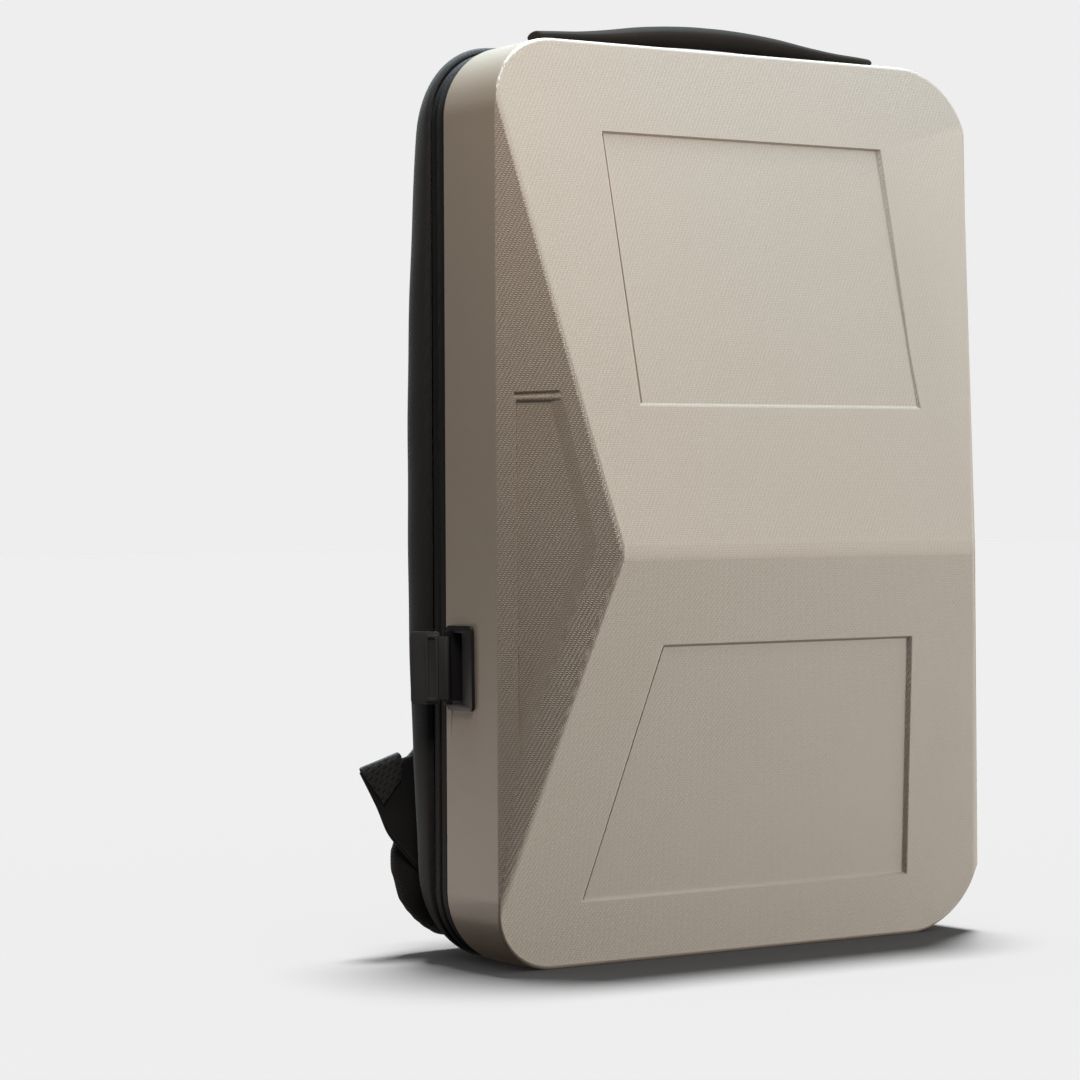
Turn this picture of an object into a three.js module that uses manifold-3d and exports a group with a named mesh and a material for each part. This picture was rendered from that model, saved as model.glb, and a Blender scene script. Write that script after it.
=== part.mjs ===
// Laptop backpack with a moulded hip-roof front shell, a zipped soft back, shoulder straps, a top handle and
// a charging port whose lid stands open. Millimetres. X is to the right seen from the front, the front faces
// -Y and Z is up. Depths (y) are measured from the front rim, the fold between the side wall and the facets.
import * as THREE from 'three';
import { ConvexGeometry } from 'three/addons/geometries/ConvexGeometry.js';
import { mergeVertices } from 'three/addons/utils/BufferGeometryUtils.js';
import Module from 'manifold-3d';

const wasm = await Module();
wasm.setup();

// Driving dimensions of the whole bag
const HEIGHT = 460;
const HALF_WIDTH_LOW = 152.1;
const HALF_WIDTH_HIGH = 147.9;
const CORNER_RADIUS = 38;
const GAP = 0.3;
// Middle of the whole depth, from the ridge to the back of the shoulder straps
const ORIGIN_Y = 42.8;

// Front shell: a rounded wall behind four facets that meet in a level ridge
const SHELL = { depth: 48, sideWall: 2.6, facetWall: 3 };
const RIDGE = { reach: 50.5, z: 205.5, inset: 40.5 };
const FOLD_TOP_Y = 6.2;
const FOLD_LOW_Y = 9.6;

// Sunk panels on the facets. x is the half-width, and "in" is the distance from the side wall
const PANEL_STEP = { depth: 1.2, run: 1.6 };
const UPPER_PANEL = { xLow: 88, xHigh: 88, zLow: 277, zHigh: 414 };
const LOWER_PANEL = { xLow: 103, xHigh: 78, zLow: 33, zHigh: 160 };
const SIDE_PANEL = [
  { in: 7, z: 108 },
  { in: 32, z: 209 },
  { in: 21.3, z: 281.5 },
  { in: 6.5, z: 281.5 },
];

// Zip band between the shell and the soft back
const ZIP = { start: SHELL.depth + GAP, end: 61.5, sunk: 1.2, thickness: 2.2 };

// Soft back, a tray lofted through rounded outlines. off moves the outline out, bow swells its sides and top
const TRAY_WALL = 3;
const TRAY_SECTIONS = [
  { y: ZIP.end + GAP, off: 0, bow: 0, lift: 0, corner: 38 },
  { y: 66, off: 0.4, bow: 2.6, lift: 0, corner: 40 },
  { y: 72, off: 0, bow: 4.4, lift: 0, corner: 43 },
  { y: 79, off: -2.2, bow: 5.2, lift: 1, corner: 47 },
  { y: 85, off: -7, bow: 5.2, lift: 5, corner: 50 },
  { y: 89.5, off: -16, bow: 4, lift: 14, corner: 50 },
];
const TRAY_BACK_Y = TRAY_SECTIONS.at(-1).y;

// Pads on the back. in shrinks the outline of each section
const LUMBAR = { halfLow: 153, halfHigh: 151, zLow: 0, zHigh: 96, corner: 48 };
const LUMBAR_SECTIONS = [
  { y: TRAY_BACK_Y + GAP, in: 22, lift: 10 },
  { y: 94, in: 8, lift: 3 },
  { y: 100, in: 0, lift: 0 },
  { y: 106, in: 3, lift: 0 },
  { y: 110.5, in: 16, lift: 10 },
];
const BACK_PAD = { halfLow: 116, halfHigh: 108, zLow: 102, zHigh: 420, corner: 34 };
const BACK_PAD_SECTIONS = [
  { y: TRAY_BACK_Y + GAP, in: 3, lift: 0 },
  { y: 93.5, in: 0, lift: 0 },
  { y: 98, in: 2, lift: 0 },
  { y: 101.5, in: 12, lift: 0 },
];

// Shoulder strap of the right side: centre line from the sewn top end to the lower end
const STRAP_THICKNESS = 10;
const STRAP_STATIONS = [
  { x: 46, y: 95.1, z: 441, width: 58 },
  { x: 46, y: 95.9, z: 432, width: 58 },
  { x: 47, y: 105, z: 418, width: 58 },
  { x: 50, y: 116, z: 392, width: 60 },
  { x: 57, y: 127, z: 340, width: 64 },
  { x: 68, y: 131, z: 280, width: 64 },
  { x: 79, y: 128, z: 224, width: 58 },
  { x: 86, y: 123, z: 186, width: 42 },
];
const ADJUSTER = { x: 90, y: 122, z: 170.5, width: 40, height: 24, thickness: 5, bar: 5, slot: 3.6 };

// Lower strap of the right side: a wing sewn along the back seam, and webbing folded back over its top edge
const WEBBING_THICKNESS = 2;
const WING_STATIONS = [
  { seam: [137.5, 90.1, 44], tip: [143.5, 90.9, 46] },
  { seam: [137.6, 90.1, 57], tip: [152.8, 92.8, 57] },
  { seam: [137.7, 90.1, 66], tip: [158.5, 94.4, 65] },
  { seam: [138, 90.1, 80], tip: [162.8, 97, 77.7] },
  { seam: [138.5, 90.1, 106], tip: [171.5, 99, 95.5] },
];
const WEBBING_WIDTH = 28;
const WEBBING_STATIONS = [
  { centre: [158.2, 96.8, 102.1], across: [0.93, 0.24, -0.28] },
  { centre: [157.2, 100, 104.2], across: [0.92, 0.27, -0.27] },
  { centre: [154, 105, 105], across: [0.85, 0.5, -0.1] },
  { centre: [144, 112, 109], across: [0.66, 0.58, 0.48] },
  { centre: [124, 116.5, 122], across: [0.72, 0.2, 0.67] },
  { centre: [104, 118, 139], across: [0.88, 0.02, 0.47] },
  { centre: [93, 118.1, 157], across: [0.98, 0, 0.18] },
  { centre: [90.4, 118.1, 173], across: [1, 0, 0.1] },
];

// Top handle: half of its length, from the middle to the end
const HANDLE_Y = 27.5;
const HANDLE_STATIONS = [
  { x: 0, low: 465.2, high: 474.2, half: 11 },
  { x: 28, low: 465.0, high: 473.4, half: 11.2 },
  { x: 54, low: 463.0, high: 470.6, half: 11.8 },
  { x: 74, low: 461.2, high: 467.4, half: 12.4 },
  { x: 88, low: 460.4, high: 465.4, half: 12.8 },
  { x: 100, low: 460.3, high: 464.4, half: 12.6 },
];

// Charging port in the left wall. out is measured from the wall, and z from the port's centre
const PORT = { z: 149.4 };
const FLANGE = { y0: 20.2, y1: 43.8, halfZ: 21, inner: 0.5, outer: 2.1 };
const PORT_BODY = { y0: 28.4, y1: 42, halfZ: 18.4, back: -6 };
const POCKET = { y0: 29.6, y1: 37.9, halfZ: 17.2, floor: -4 };
const SOCKET = { z: -6.3, width: 7.2, length: 14.5, wall: 0.6, front: -3.5, back: -16 };
const SOCKET_Y = (POCKET.y0 + POCKET.y1) / 2;
const TONGUE = { thickness: 1.9, length: 11.2, reach: 8.6, shift: 1.3 };
const HINGE = { y: 40.9, pin: 0.55, bore: 0.85, barrel: 1.45, halfBarrel: 15.4, lugEnd: 18.2 };
const HINGE_OUT = FLANGE.outer + 0.25 + HINGE.barrel;
const LID = { halfZ: 18, near: 3.2, far: 18.5, thickness: 1.5, openAngle: THREE.MathUtils.degToRad(140) };

// Smoothness
const CORNER_STEPS = 7;
const SIDE_STEPS = 6;
const ROUND_SIDES = 12;
const STRAP_STEPS = 26;
const WING_STEPS = 8;
const HANDLE_STEPS = 12;

const halfWidth = (z) => THREE.MathUtils.mapLinear(z, 0, HEIGHT, HALF_WIDTH_LOW, HALF_WIDTH_HIGH);

// Solids and booleans

function toSolid(geometry) {
  const bare = geometry.clone();
  bare.deleteAttribute('normal');
  bare.deleteAttribute('uv');
  const merged = mergeVertices(bare);
  return new wasm.Manifold(new wasm.Mesh({
    numProp: 3,
    vertProperties: Float32Array.from(merged.attributes.position.array),
    triVerts: Uint32Array.from(merged.index.array),
  }));
}

function toGeometry(solid) {
  const mesh = solid.getMesh();
  const geometry = new THREE.BufferGeometry();
  geometry.setAttribute('position', new THREE.BufferAttribute(mesh.vertProperties, mesh.numProp));
  geometry.setIndex(new THREE.BufferAttribute(mesh.triVerts, 1));
  return geometry;
}

function signedVolume(points, faces) {
  const cross = new THREE.Vector3();
  return faces.reduce((sum, [a, b, c]) => sum + points[a].dot(cross.crossVectors(points[b], points[c])), 0) / 6;
}

// A closed skin over rings of equal length, with a fan to the middle of each end ring
function loft(rings) {
  const count = rings[0].length;
  const points = rings.flat();
  const faces = [];
  for (let ring = 0; ring < rings.length - 1; ring += 1) {
    for (let i = 0; i < count; i += 1) {
      const a = ring * count + i;
      const b = ring * count + (i + 1) % count;
      faces.push([a, b, b + count], [a, b + count, a + count]);
    }
  }
  const closeEnd = (ring, flip) => {
    const middle = rings[ring].reduce((sum, p) => sum.add(p), new THREE.Vector3()).divideScalar(count);
    const centre = points.push(middle) - 1;
    for (let i = 0; i < count; i += 1) {
      const a = ring * count + i;
      const b = ring * count + (i + 1) % count;
      faces.push(flip ? [centre, b, a] : [centre, a, b]);
    }
  };
  closeEnd(0, true);
  closeEnd(rings.length - 1, false);
  const outward = signedVolume(points, faces) > 0 ? faces : faces.map(([a, b, c]) => [a, c, b]);
  const geometry = new THREE.BufferGeometry().setFromPoints(points);
  geometry.setIndex(outward.flat());
  return geometry;
}

function box(low, high) {
  const size = high.map((v, i) => v - low[i]);
  const geometry = new THREE.BoxGeometry(...size);
  return geometry.translate(...low.map((v, i) => v + size[i] / 2));
}

function uprightCylinder(radius, zLow, zHigh) {
  const geometry = new THREE.CylinderGeometry(radius, radius, zHigh - zLow, ROUND_SIDES);
  return geometry.rotateX(Math.PI / 2).translate(0, 0, (zLow + zHigh) / 2);
}

// Outlines

// Rounded upright outline as (x, z) points, counter-clockwise from the low left corner. The sides and the
// top swell by bow, the bottom stays flat
function roundedOutline({ halfLow, halfHigh, zLow, zHigh, corner, bow = 0 }) {
  const at = (z) => THREE.MathUtils.mapLinear(z, zLow, zHigh, halfLow, halfHigh);
  const low = zLow + corner;
  const high = zHigh - corner;
  const corners = [
    { x: -at(low) + corner, z: low, from: Math.PI, swell: 0 },
    { x: at(low) - corner, z: low, from: 1.5 * Math.PI, swell: bow },
    { x: at(high) - corner, z: high, from: 0, swell: bow },
    { x: -at(high) + corner, z: high, from: 0.5 * Math.PI, swell: bow },
  ];
  const arcs = corners.map(({ x, z, from }) => Array.from({ length: CORNER_STEPS + 1 }, (_, i) => {
    const angle = from + (i / CORNER_STEPS) * Math.PI / 2;
    return new THREE.Vector2(x + corner * Math.cos(angle), z + corner * Math.sin(angle));
  }));
  return arcs.flatMap((arc, i) => {
    const start = arc.at(-1);
    const end = arcs[(i + 1) % arcs.length][0];
    const outward = new THREE.Vector2(end.y - start.y, start.x - end.x).normalize();
    const side = [];
    for (let step = 1; step < SIDE_STEPS; step += 1) {
      const t = step / SIDE_STEPS;
      const swell = corners[i].swell * 4 * t * (1 - t);
      side.push(start.clone().lerp(end, t).addScaledVector(outward, swell));
    }
    return [...arc, ...side];
  });
}

const ringAt = (y, outline) => outline.map((p) => new THREE.Vector3(p.x, y, p.y));

const wallOutline = (inset) => roundedOutline({
  halfLow: HALF_WIDTH_LOW - inset,
  halfHigh: HALF_WIDTH_HIGH - inset,
  zLow: inset,
  zHigh: HEIGHT - inset,
  corner: CORNER_RADIUS - inset,
});

// A prism along Y over the wall outline
function wallPrism(inset, y0, y1) {
  const shape = new THREE.Shape(wallOutline(inset));
  const geometry = new THREE.ExtrudeGeometry(shape, { depth: y1 - y0, bevelEnabled: false });
  return geometry.rotateX(Math.PI / 2).translate(0, y1, 0);
}

// Front shell

// The depth of each facet over a point (x, z)
const upperFacetY = (x, z) => FOLD_TOP_Y - (HEIGHT - z) * (FOLD_TOP_Y + RIDGE.reach) / (HEIGHT - RIDGE.z);
const lowerFacetY = (x, z) => FOLD_LOW_Y - z * (FOLD_LOW_Y + RIDGE.reach) / RIDGE.z;
const sideFacetY = (x, z) => (Math.abs(x) - halfWidth(z)) * RIDGE.reach / RIDGE.inset;

// The space behind the four facets, carried back to the depth y
function hipRoof(y) {
  const zHigh = HEIGHT + (y - FOLD_TOP_Y) * (HEIGHT - RIDGE.z) / (FOLD_TOP_Y + RIDGE.reach);
  const zLow = -(y - FOLD_LOW_Y) * RIDGE.z / (FOLD_LOW_Y + RIDGE.reach);
  const spread = y * RIDGE.inset / RIDGE.reach;
  const apexX = halfWidth(RIDGE.z) - RIDGE.inset;
  return new ConvexGeometry([-1, 1].flatMap((side) => [
    new THREE.Vector3(side * apexX, -RIDGE.reach, RIDGE.z),
    new THREE.Vector3(side * (halfWidth(zHigh) + spread), y, zHigh),
    new THREE.Vector3(side * (halfWidth(zLow) + spread), y, zLow),
  ]));
}

// A cutter for a sunk panel: its sides slope from inside the outline at the floor to outside it above the facet
function panelCutter(corners, facetY, depth) {
  const shifted = (distance) => corners.map((p, i) => {
    const before = corners.at(i - 1);
    const after = corners[(i + 1) % corners.length];
    const inNormal = (a, b) => new THREE.Vector2(a.y - b.y, b.x - a.x).normalize();
    const n1 = inNormal(before, p);
    const n2 = inNormal(p, after);
    return p.clone().addScaledVector(n1.clone().add(n2), distance / (1 + n1.dot(n2)));
  });
  const ring = (outline, push) => outline.map((p) => new THREE.Vector3(p.x, facetY(p.x, p.y) + push, p.y));
  return toSolid(loft([ring(shifted(PANEL_STEP.run), depth), ring(shifted(-PANEL_STEP.run), -depth)]));
}

const panelCorners = ({ xLow, xHigh, zLow, zHigh }) => [
  new THREE.Vector2(-xLow, zLow),
  new THREE.Vector2(xLow, zLow),
  new THREE.Vector2(xHigh, zHigh),
  new THREE.Vector2(-xHigh, zHigh),
];

function sidePanelCorners(side) {
  const corners = SIDE_PANEL.map((row) => new THREE.Vector2(side * (halfWidth(row.z) - row.in), row.z));
  return side > 0 ? corners.reverse() : corners;
}

const wallX = -halfWidth(PORT.z);
const portBox = (out0, out1, y0, y1, z0, z1) => box(
  [wallX - out1, y0, PORT.z + z0],
  [wallX - out0, y1, PORT.z + z1],
);

function frontShell() {
  const outer = toSolid(wallPrism(0, -RIDGE.reach - 1, SHELL.depth)).intersect(toSolid(hipRoof(SHELL.depth + 1)));
  const innerRoof = hipRoof(SHELL.depth + 1).translate(0, SHELL.facetWall, 0);
  const inner = toSolid(wallPrism(SHELL.sideWall, -RIDGE.reach, SHELL.depth + 1)).intersect(toSolid(innerRoof));
  const sidePush = PANEL_STEP.depth * Math.hypot(1, RIDGE.reach / RIDGE.inset);
  const cutters = [
    inner,
    panelCutter(panelCorners(UPPER_PANEL), upperFacetY, PANEL_STEP.depth),
    panelCutter(panelCorners(LOWER_PANEL), lowerFacetY, PANEL_STEP.depth),
    panelCutter(sidePanelCorners(-1), sideFacetY, sidePush),
    panelCutter(sidePanelCorners(1), sideFacetY, sidePush),
    toSolid(portBox(
      -2 * SHELL.sideWall, 2 * SHELL.sideWall,
      PORT_BODY.y0 - GAP, PORT_BODY.y1 + GAP,
      -PORT_BODY.halfZ - GAP, PORT_BODY.halfZ + GAP,
    )),
  ];
  return toGeometry(cutters.reduce((shell, cutter) => shell.subtract(cutter), outer));
}

// Zip band and soft back

function zipBand() {
  const outer = toSolid(wallPrism(ZIP.sunk, ZIP.start, ZIP.end));
  const inner = toSolid(wallPrism(ZIP.sunk + ZIP.thickness, ZIP.start - 1, ZIP.end + 1));
  return toGeometry(outer.subtract(inner));
}

function trayLoft(sections, wall) {
  return loft(sections.map(({ y, off, bow, lift, corner }) => ringAt(y, roundedOutline({
    halfLow: HALF_WIDTH_LOW + off - wall,
    halfHigh: HALF_WIDTH_HIGH + off - wall,
    zLow: lift + wall,
    zHigh: HEIGHT + off - wall,
    corner: corner - wall,
    bow,
  }))));
}

function backTray() {
  const hollow = TRAY_SECTIONS.map((row) => ({ ...row }));
  hollow[0].y -= 1;
  hollow.at(-1).y -= TRAY_WALL;
  return toGeometry(toSolid(trayLoft(TRAY_SECTIONS, 0)).subtract(toSolid(trayLoft(hollow, TRAY_WALL))));
}

function pad(form, sections) {
  return loft(sections.map((row) => ringAt(row.y, roundedOutline({
    halfLow: form.halfLow - row.in,
    halfHigh: form.halfHigh - row.in,
    zLow: form.zLow + row.lift,
    zHigh: form.zHigh - row.in,
    corner: form.corner - (row.in + row.lift) / 2,
  }))));
}

// Straps

// A band swept along stations of centre, across direction and width, with a flat eight-sided section
function sweep(stations, thickness, steps) {
  const curveOf = (key) => new THREE.CatmullRomCurve3(stations.map((row) => row[key]));
  const centres = curveOf('centre');
  const acrosses = curveOf('across');
  const widths = new THREE.SplineCurve(stations.map((row, i) => new THREE.Vector2(i, row.width)));
  const bevel = thickness * 0.3;
  return loft(Array.from({ length: steps + 1 }, (_, i) => {
    const t = centres.getUtoTmapping(i / steps);
    const tangent = centres.getTangent(t);
    const normal = tangent.clone().cross(acrosses.getPoint(t)).normalize();
    const across = normal.clone().cross(tangent).normalize();
    const half = widths.getPoint(t).y / 2;
    const face = thickness / 2;
    return [
      [half, -face + bevel], [half, face - bevel], [half - bevel, face], [-half + bevel, face],
      [-half, face - bevel], [-half, -face + bevel], [-half + bevel, -face], [half - bevel, -face],
    ].map(([u, v]) => centres.getPoint(t).addScaledVector(across, u).addScaledVector(normal, v));
  }));
}

function shoulderStrap() {
  return sweep(STRAP_STATIONS.map(({ x, y, z, width }) => ({
    centre: new THREE.Vector3(x, y, z),
    across: new THREE.Vector3(1, 0, 0),
    width,
  })), STRAP_THICKNESS, STRAP_STEPS);
}

function strapAdjuster() {
  const { x, y, z, width, height, thickness, bar, slot } = ADJUSTER;
  const frame = toSolid(new THREE.BoxGeometry(width, thickness, height));
  const slotAt = (z0) => toSolid(new THREE.BoxGeometry(width - 2 * bar, 2 * thickness, slot).translate(0, 0, z0));
  const slotted = frame.subtract(slotAt(bar)).subtract(slotAt(-bar));
  return toGeometry(slotted).translate(x, y, z);
}

function strapWing() {
  return sweep(WING_STATIONS.map(({ seam, tip }) => {
    const inner = new THREE.Vector3(...seam);
    const outer = new THREE.Vector3(...tip);
    return {
      centre: inner.clone().lerp(outer, 0.5),
      across: outer.clone().sub(inner).normalize(),
      width: inner.distanceTo(outer),
    };
  }), WEBBING_THICKNESS, WING_STEPS);
}

function strapWebbing() {
  return sweep(WEBBING_STATIONS.map(({ centre, across }) => ({
    centre: new THREE.Vector3(...centre),
    across: new THREE.Vector3(...across),
    width: WEBBING_WIDTH,
  })), WEBBING_THICKNESS, STRAP_STEPS);
}

// The same piece on the other side of the bag, with its faces turned out again
function mirrored(geometry) {
  const copy = geometry.clone().scale(-1, 1, 1);
  copy.index.array.reverse();
  return copy;
}

// Top handle

function topHandle() {
  const rows = [...HANDLE_STATIONS.slice(1).reverse().map((row) => ({ ...row, x: -row.x })), ...HANDLE_STATIONS];
  const column = (key) => new THREE.SplineCurve(rows.map((row) => new THREE.Vector2(row.x, row[key])));
  const [low, high, half] = ['low', 'high', 'half'].map(column);
  const steps = 2 * HANDLE_STEPS;
  return loft(Array.from({ length: steps + 1 }, (_, i) => {
    const t = i / steps;
    const x = low.getPoint(t).x;
    const middle = (low.getPoint(t).y + high.getPoint(t).y) / 2;
    const rise = (high.getPoint(t).y - low.getPoint(t).y) / 2;
    return Array.from({ length: ROUND_SIDES }, (__, k) => {
      const angle = (k / ROUND_SIDES) * 2 * Math.PI;
      const square = (v) => Math.sign(v) * Math.abs(v) ** 0.55;
      const y = HANDLE_Y + half.getPoint(t).y * square(Math.cos(angle));
      return new THREE.Vector3(x, y, middle + rise * square(Math.sin(angle)));
    });
  }));
}

// Charging port

function portBezel() {
  const { y0, y1, halfZ } = PORT_BODY;
  const solids = [
    portBox(FLANGE.inner, FLANGE.outer, FLANGE.y0, FLANGE.y1, -FLANGE.halfZ, FLANGE.halfZ),
    portBox(PORT_BODY.back, FLANGE.outer, y0, y1, -halfZ, halfZ),
  ];
  const lugReach = HINGE_OUT + HINGE.barrel;
  for (const [z0, z1] of [[-HINGE.lugEnd, -HINGE.halfBarrel - GAP], [HINGE.halfBarrel + GAP, HINGE.lugEnd]]) {
    solids.push(portBox(
      FLANGE.inner, lugReach,
      HINGE.y - HINGE.barrel, HINGE.y + HINGE.barrel,
      z0, z1,
    ));
  }
  const socketHalf = SOCKET.length / 2 + GAP;
  const cutters = [
    portBox(POCKET.floor, FLANGE.outer + 1, POCKET.y0, POCKET.y1, -POCKET.halfZ, POCKET.halfZ),
    portBox(
      2 * PORT_BODY.back, 0,
      SOCKET_Y - SOCKET.width / 2 - GAP, SOCKET_Y + SOCKET.width / 2 + GAP,
      SOCKET.z - socketHalf, SOCKET.z + socketHalf,
    ),
    uprightCylinder(HINGE.pin + 0.1, -HINGE.lugEnd + 1, HINGE.lugEnd + 1)
      .translate(wallX - HINGE_OUT, HINGE.y, PORT.z),
  ];
  const whole = solids.map(toSolid).reduce((sum, solid) => sum.add(solid));
  return toGeometry(cutters.map(toSolid).reduce((solid, cutter) => solid.subtract(cutter), whole));
}

function usbSocket() {
  const { width, length, wall, front, back, z } = SOCKET;
  const tube = (grow, out0, out1) => toSolid(portBox(
    out0, out1,
    SOCKET_Y - width / 2 + grow, SOCKET_Y + width / 2 - grow,
    z - length / 2 + grow, z + length / 2 - grow,
  ));
  return toGeometry(tube(0, back, front).subtract(tube(wall, back + wall, front + 1)));
}

function usbTongue() {
  const { thickness, length, reach, shift } = TONGUE;
  const back = SOCKET.back + SOCKET.wall + GAP;
  return portBox(
    back, back + reach,
    SOCKET_Y + shift - thickness / 2, SOCKET_Y + shift + thickness / 2,
    SOCKET.z - length / 2, SOCKET.z + length / 2,
  );
}

const hingePin = () => uprightCylinder(HINGE.pin, -HINGE.lugEnd + 1 + GAP, HINGE.lugEnd);

// The lid around its hinge line, drawn shut: it reaches towards the front with its inner face to the bag
function portLid() {
  const inner = HINGE.barrel - 0.05;
  const outer = inner - LID.thickness;
  const barrel = toSolid(uprightCylinder(HINGE.barrel, -HINGE.halfBarrel, HINGE.halfBarrel));
  const neck = toSolid(box([outer, -LID.near - 1, -HINGE.halfBarrel], [inner, 0, HINGE.halfBarrel]));
  const plate = toSolid(box([outer, -LID.far, -LID.halfZ], [inner, -LID.near, LID.halfZ]));
  const bore = toSolid(uprightCylinder(HINGE.bore, -HINGE.halfBarrel - 1, HINGE.halfBarrel + 1));
  return toGeometry(barrel.add(neck).add(plate).subtract(bore));
}

// Assembly

const CHAMPAGNE = { color: 0xb3a999, roughness: 0.5, metalness: 0.25 };
const BLACK_FABRIC = { color: 0x17171a, roughness: 0.9, metalness: 0 };
const BLACK_MESH = { color: 0x1c1c1f, roughness: 0.95, metalness: 0 };
const BLACK_RUBBER = { color: 0x131314, roughness: 0.6, metalness: 0 };
const BLACK_PLASTIC = { color: 0x101012, roughness: 0.45, metalness: 0 };
const STEEL = { color: 0xa8a8a8, roughness: 0.3, metalness: 1 };

const bag = new THREE.Group();

function addPiece(parent, name, geometry, finish) {
  const mesh = new THREE.Mesh(geometry, new THREE.MeshStandardMaterial(finish));
  mesh.name = name;
  parent.add(mesh);
}

addPiece(bag, 'front_shell', frontShell(), CHAMPAGNE);
addPiece(bag, 'zip_band', zipBand(), BLACK_FABRIC);
addPiece(bag, 'back_tray', backTray(), BLACK_FABRIC);
addPiece(bag, 'lumbar_pad', pad(LUMBAR, LUMBAR_SECTIONS), BLACK_MESH);
addPiece(bag, 'back_pad', pad(BACK_PAD, BACK_PAD_SECTIONS), BLACK_MESH);
addPiece(bag, 'top_handle', topHandle(), BLACK_RUBBER);
const STRAP_PIECES = [
  { name: 'shoulder_strap', geometry: shoulderStrap(), finish: BLACK_FABRIC },
  { name: 'strap_adjuster', geometry: strapAdjuster(), finish: BLACK_PLASTIC },
  { name: 'strap_webbing', geometry: strapWebbing(), finish: BLACK_FABRIC },
  { name: 'strap_wing', geometry: strapWing(), finish: BLACK_FABRIC },
];
for (const { name, geometry, finish } of STRAP_PIECES) {
  addPiece(bag, `${name}_right`, geometry, finish);
  addPiece(bag, `${name}_left`, mirrored(geometry), finish);
}
addPiece(bag, 'port_bezel', portBezel(), BLACK_PLASTIC);
addPiece(bag, 'usb_socket', usbSocket(), STEEL);
addPiece(bag, 'usb_tongue', usbTongue(), BLACK_PLASTIC);

const hinge = new THREE.Group();
hinge.position.set(wallX - HINGE_OUT, HINGE.y, PORT.z);
addPiece(hinge, 'hinge_pin', hingePin(), STEEL);
const opened = new THREE.Group();
opened.rotation.z = -LID.openAngle;
addPiece(opened, 'port_lid', portLid(), BLACK_RUBBER);
hinge.add(opened);
bag.add(hinge);

// The origin lies on the ground under the middle of the whole bag
bag.position.y = -ORIGIN_Y;

export default bag;
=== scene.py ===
"""Looks of the laptop backpack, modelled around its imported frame."""
import math

import bmesh
import bpy
from mathutils import Matrix, Vector


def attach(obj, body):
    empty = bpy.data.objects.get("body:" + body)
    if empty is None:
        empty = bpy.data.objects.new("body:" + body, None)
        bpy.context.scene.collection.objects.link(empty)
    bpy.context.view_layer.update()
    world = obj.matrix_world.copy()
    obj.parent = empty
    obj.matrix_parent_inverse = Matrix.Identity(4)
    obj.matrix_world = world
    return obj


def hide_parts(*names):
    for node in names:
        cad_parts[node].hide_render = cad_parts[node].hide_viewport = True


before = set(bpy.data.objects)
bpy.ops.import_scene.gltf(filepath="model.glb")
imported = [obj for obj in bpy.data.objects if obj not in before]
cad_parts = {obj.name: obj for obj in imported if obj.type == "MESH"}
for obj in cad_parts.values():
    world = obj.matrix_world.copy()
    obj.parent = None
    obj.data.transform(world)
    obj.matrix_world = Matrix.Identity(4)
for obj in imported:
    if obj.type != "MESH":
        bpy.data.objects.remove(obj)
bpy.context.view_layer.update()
scene = bpy.context.scene

# Shape values in millimetres. Depths are measured from the front rim of the shell
MM = 0.001
X_AXIS = 0
Y_AXIS = 1
Z_AXIS = 2
RIM_TO_ORIGIN = 42.8
HEIGHT = 460
HALF_LOW = 152.1
HALF_HIGH = 147.9
CORNER = 38
CORNER_STEPS = 16
SHELL_DEPTH = 48
SHELL_WALL = 2.6
RIDGE_REACH = 50.5
RIDGE_Z = 205.5
RIDGE_INSET = 40.5
FOLD_TOP_Y = 6.2
FOLD_LOW_Y = 9.6
PORT_Z = 149.4


def place(x, y, z):
    """A point given in millimetres."""
    return Vector((x * MM, (y - RIM_TO_ORIGIN) * MM, z * MM))


def half_width(z):
    return HALF_LOW + (HALF_HIGH - HALF_LOW) * z / HEIGHT


# Modelling by hand

def deselect():
    bpy.ops.object.select_all(action="DESELECT")


def activate(piece):
    deselect()
    piece.select_set(True)
    bpy.context.view_layer.objects.active = piece


def edit(piece, mode="EDGE"):
    activate(piece)
    bpy.ops.object.mode_set(mode="EDIT")
    bpy.ops.mesh.select_mode(type=mode)


def done():
    bpy.ops.object.mode_set(mode="OBJECT")


def pick(piece, test, kind="edges"):
    """Selects the edges, faces or verts that pass the test."""
    bpy.ops.mesh.select_all(action="DESELECT")
    mesh = bmesh.from_edit_mesh(piece.data)
    mesh.normal_update()
    for part in getattr(mesh, kind):
        if test(part):
            part.select_set(True)
    mesh.select_flush_mode()
    bmesh.update_edit_mesh(piece.data)


def block(name, low, high):
    """A cube added at its size and place."""
    deselect()
    bpy.ops.mesh.primitive_cube_add(size=1, location=(low + high) / 2, scale=high - low)
    bpy.ops.object.transform_apply(location=True, rotation=True, scale=True)
    piece = bpy.context.object
    piece.name = name
    return piece


def along(edge, axis):
    """Says whether an edge runs along an axis, or nearly so."""
    span = edge.verts[1].co - edge.verts[0].co
    return abs(span[axis]) > 0.9 * span.length


def middle(edge):
    return (edge.verts[0].co + edge.verts[1].co) / 2


def bevel(width, steps=3):
    bpy.ops.mesh.bevel(
        offset=width * MM, offset_type="OFFSET", segments=steps, profile=0.5, affect="EDGES",
        clamp_overlap=False,
    )


def modify(piece, kind, **settings):
    """Adds one modifier and applies it."""
    activate(piece)
    modifier = piece.modifiers.new(kind.title(), kind)
    for key, value in settings.items():
        setattr(modifier, key, value)
    bpy.ops.object.modifier_apply(modifier=modifier.name)


def carve(piece, cutter, operation="DIFFERENCE"):
    modify(piece, "BOOLEAN", object=cutter, operation=operation, solver="EXACT")
    bpy.data.objects.remove(cutter)


def round_corners(piece, width, axis, steps):
    """Rounds the edges of a block that run along an axis."""
    edit(piece)
    pick(piece, lambda e: along(e, axis))
    bevel(width, steps)
    done()


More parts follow.
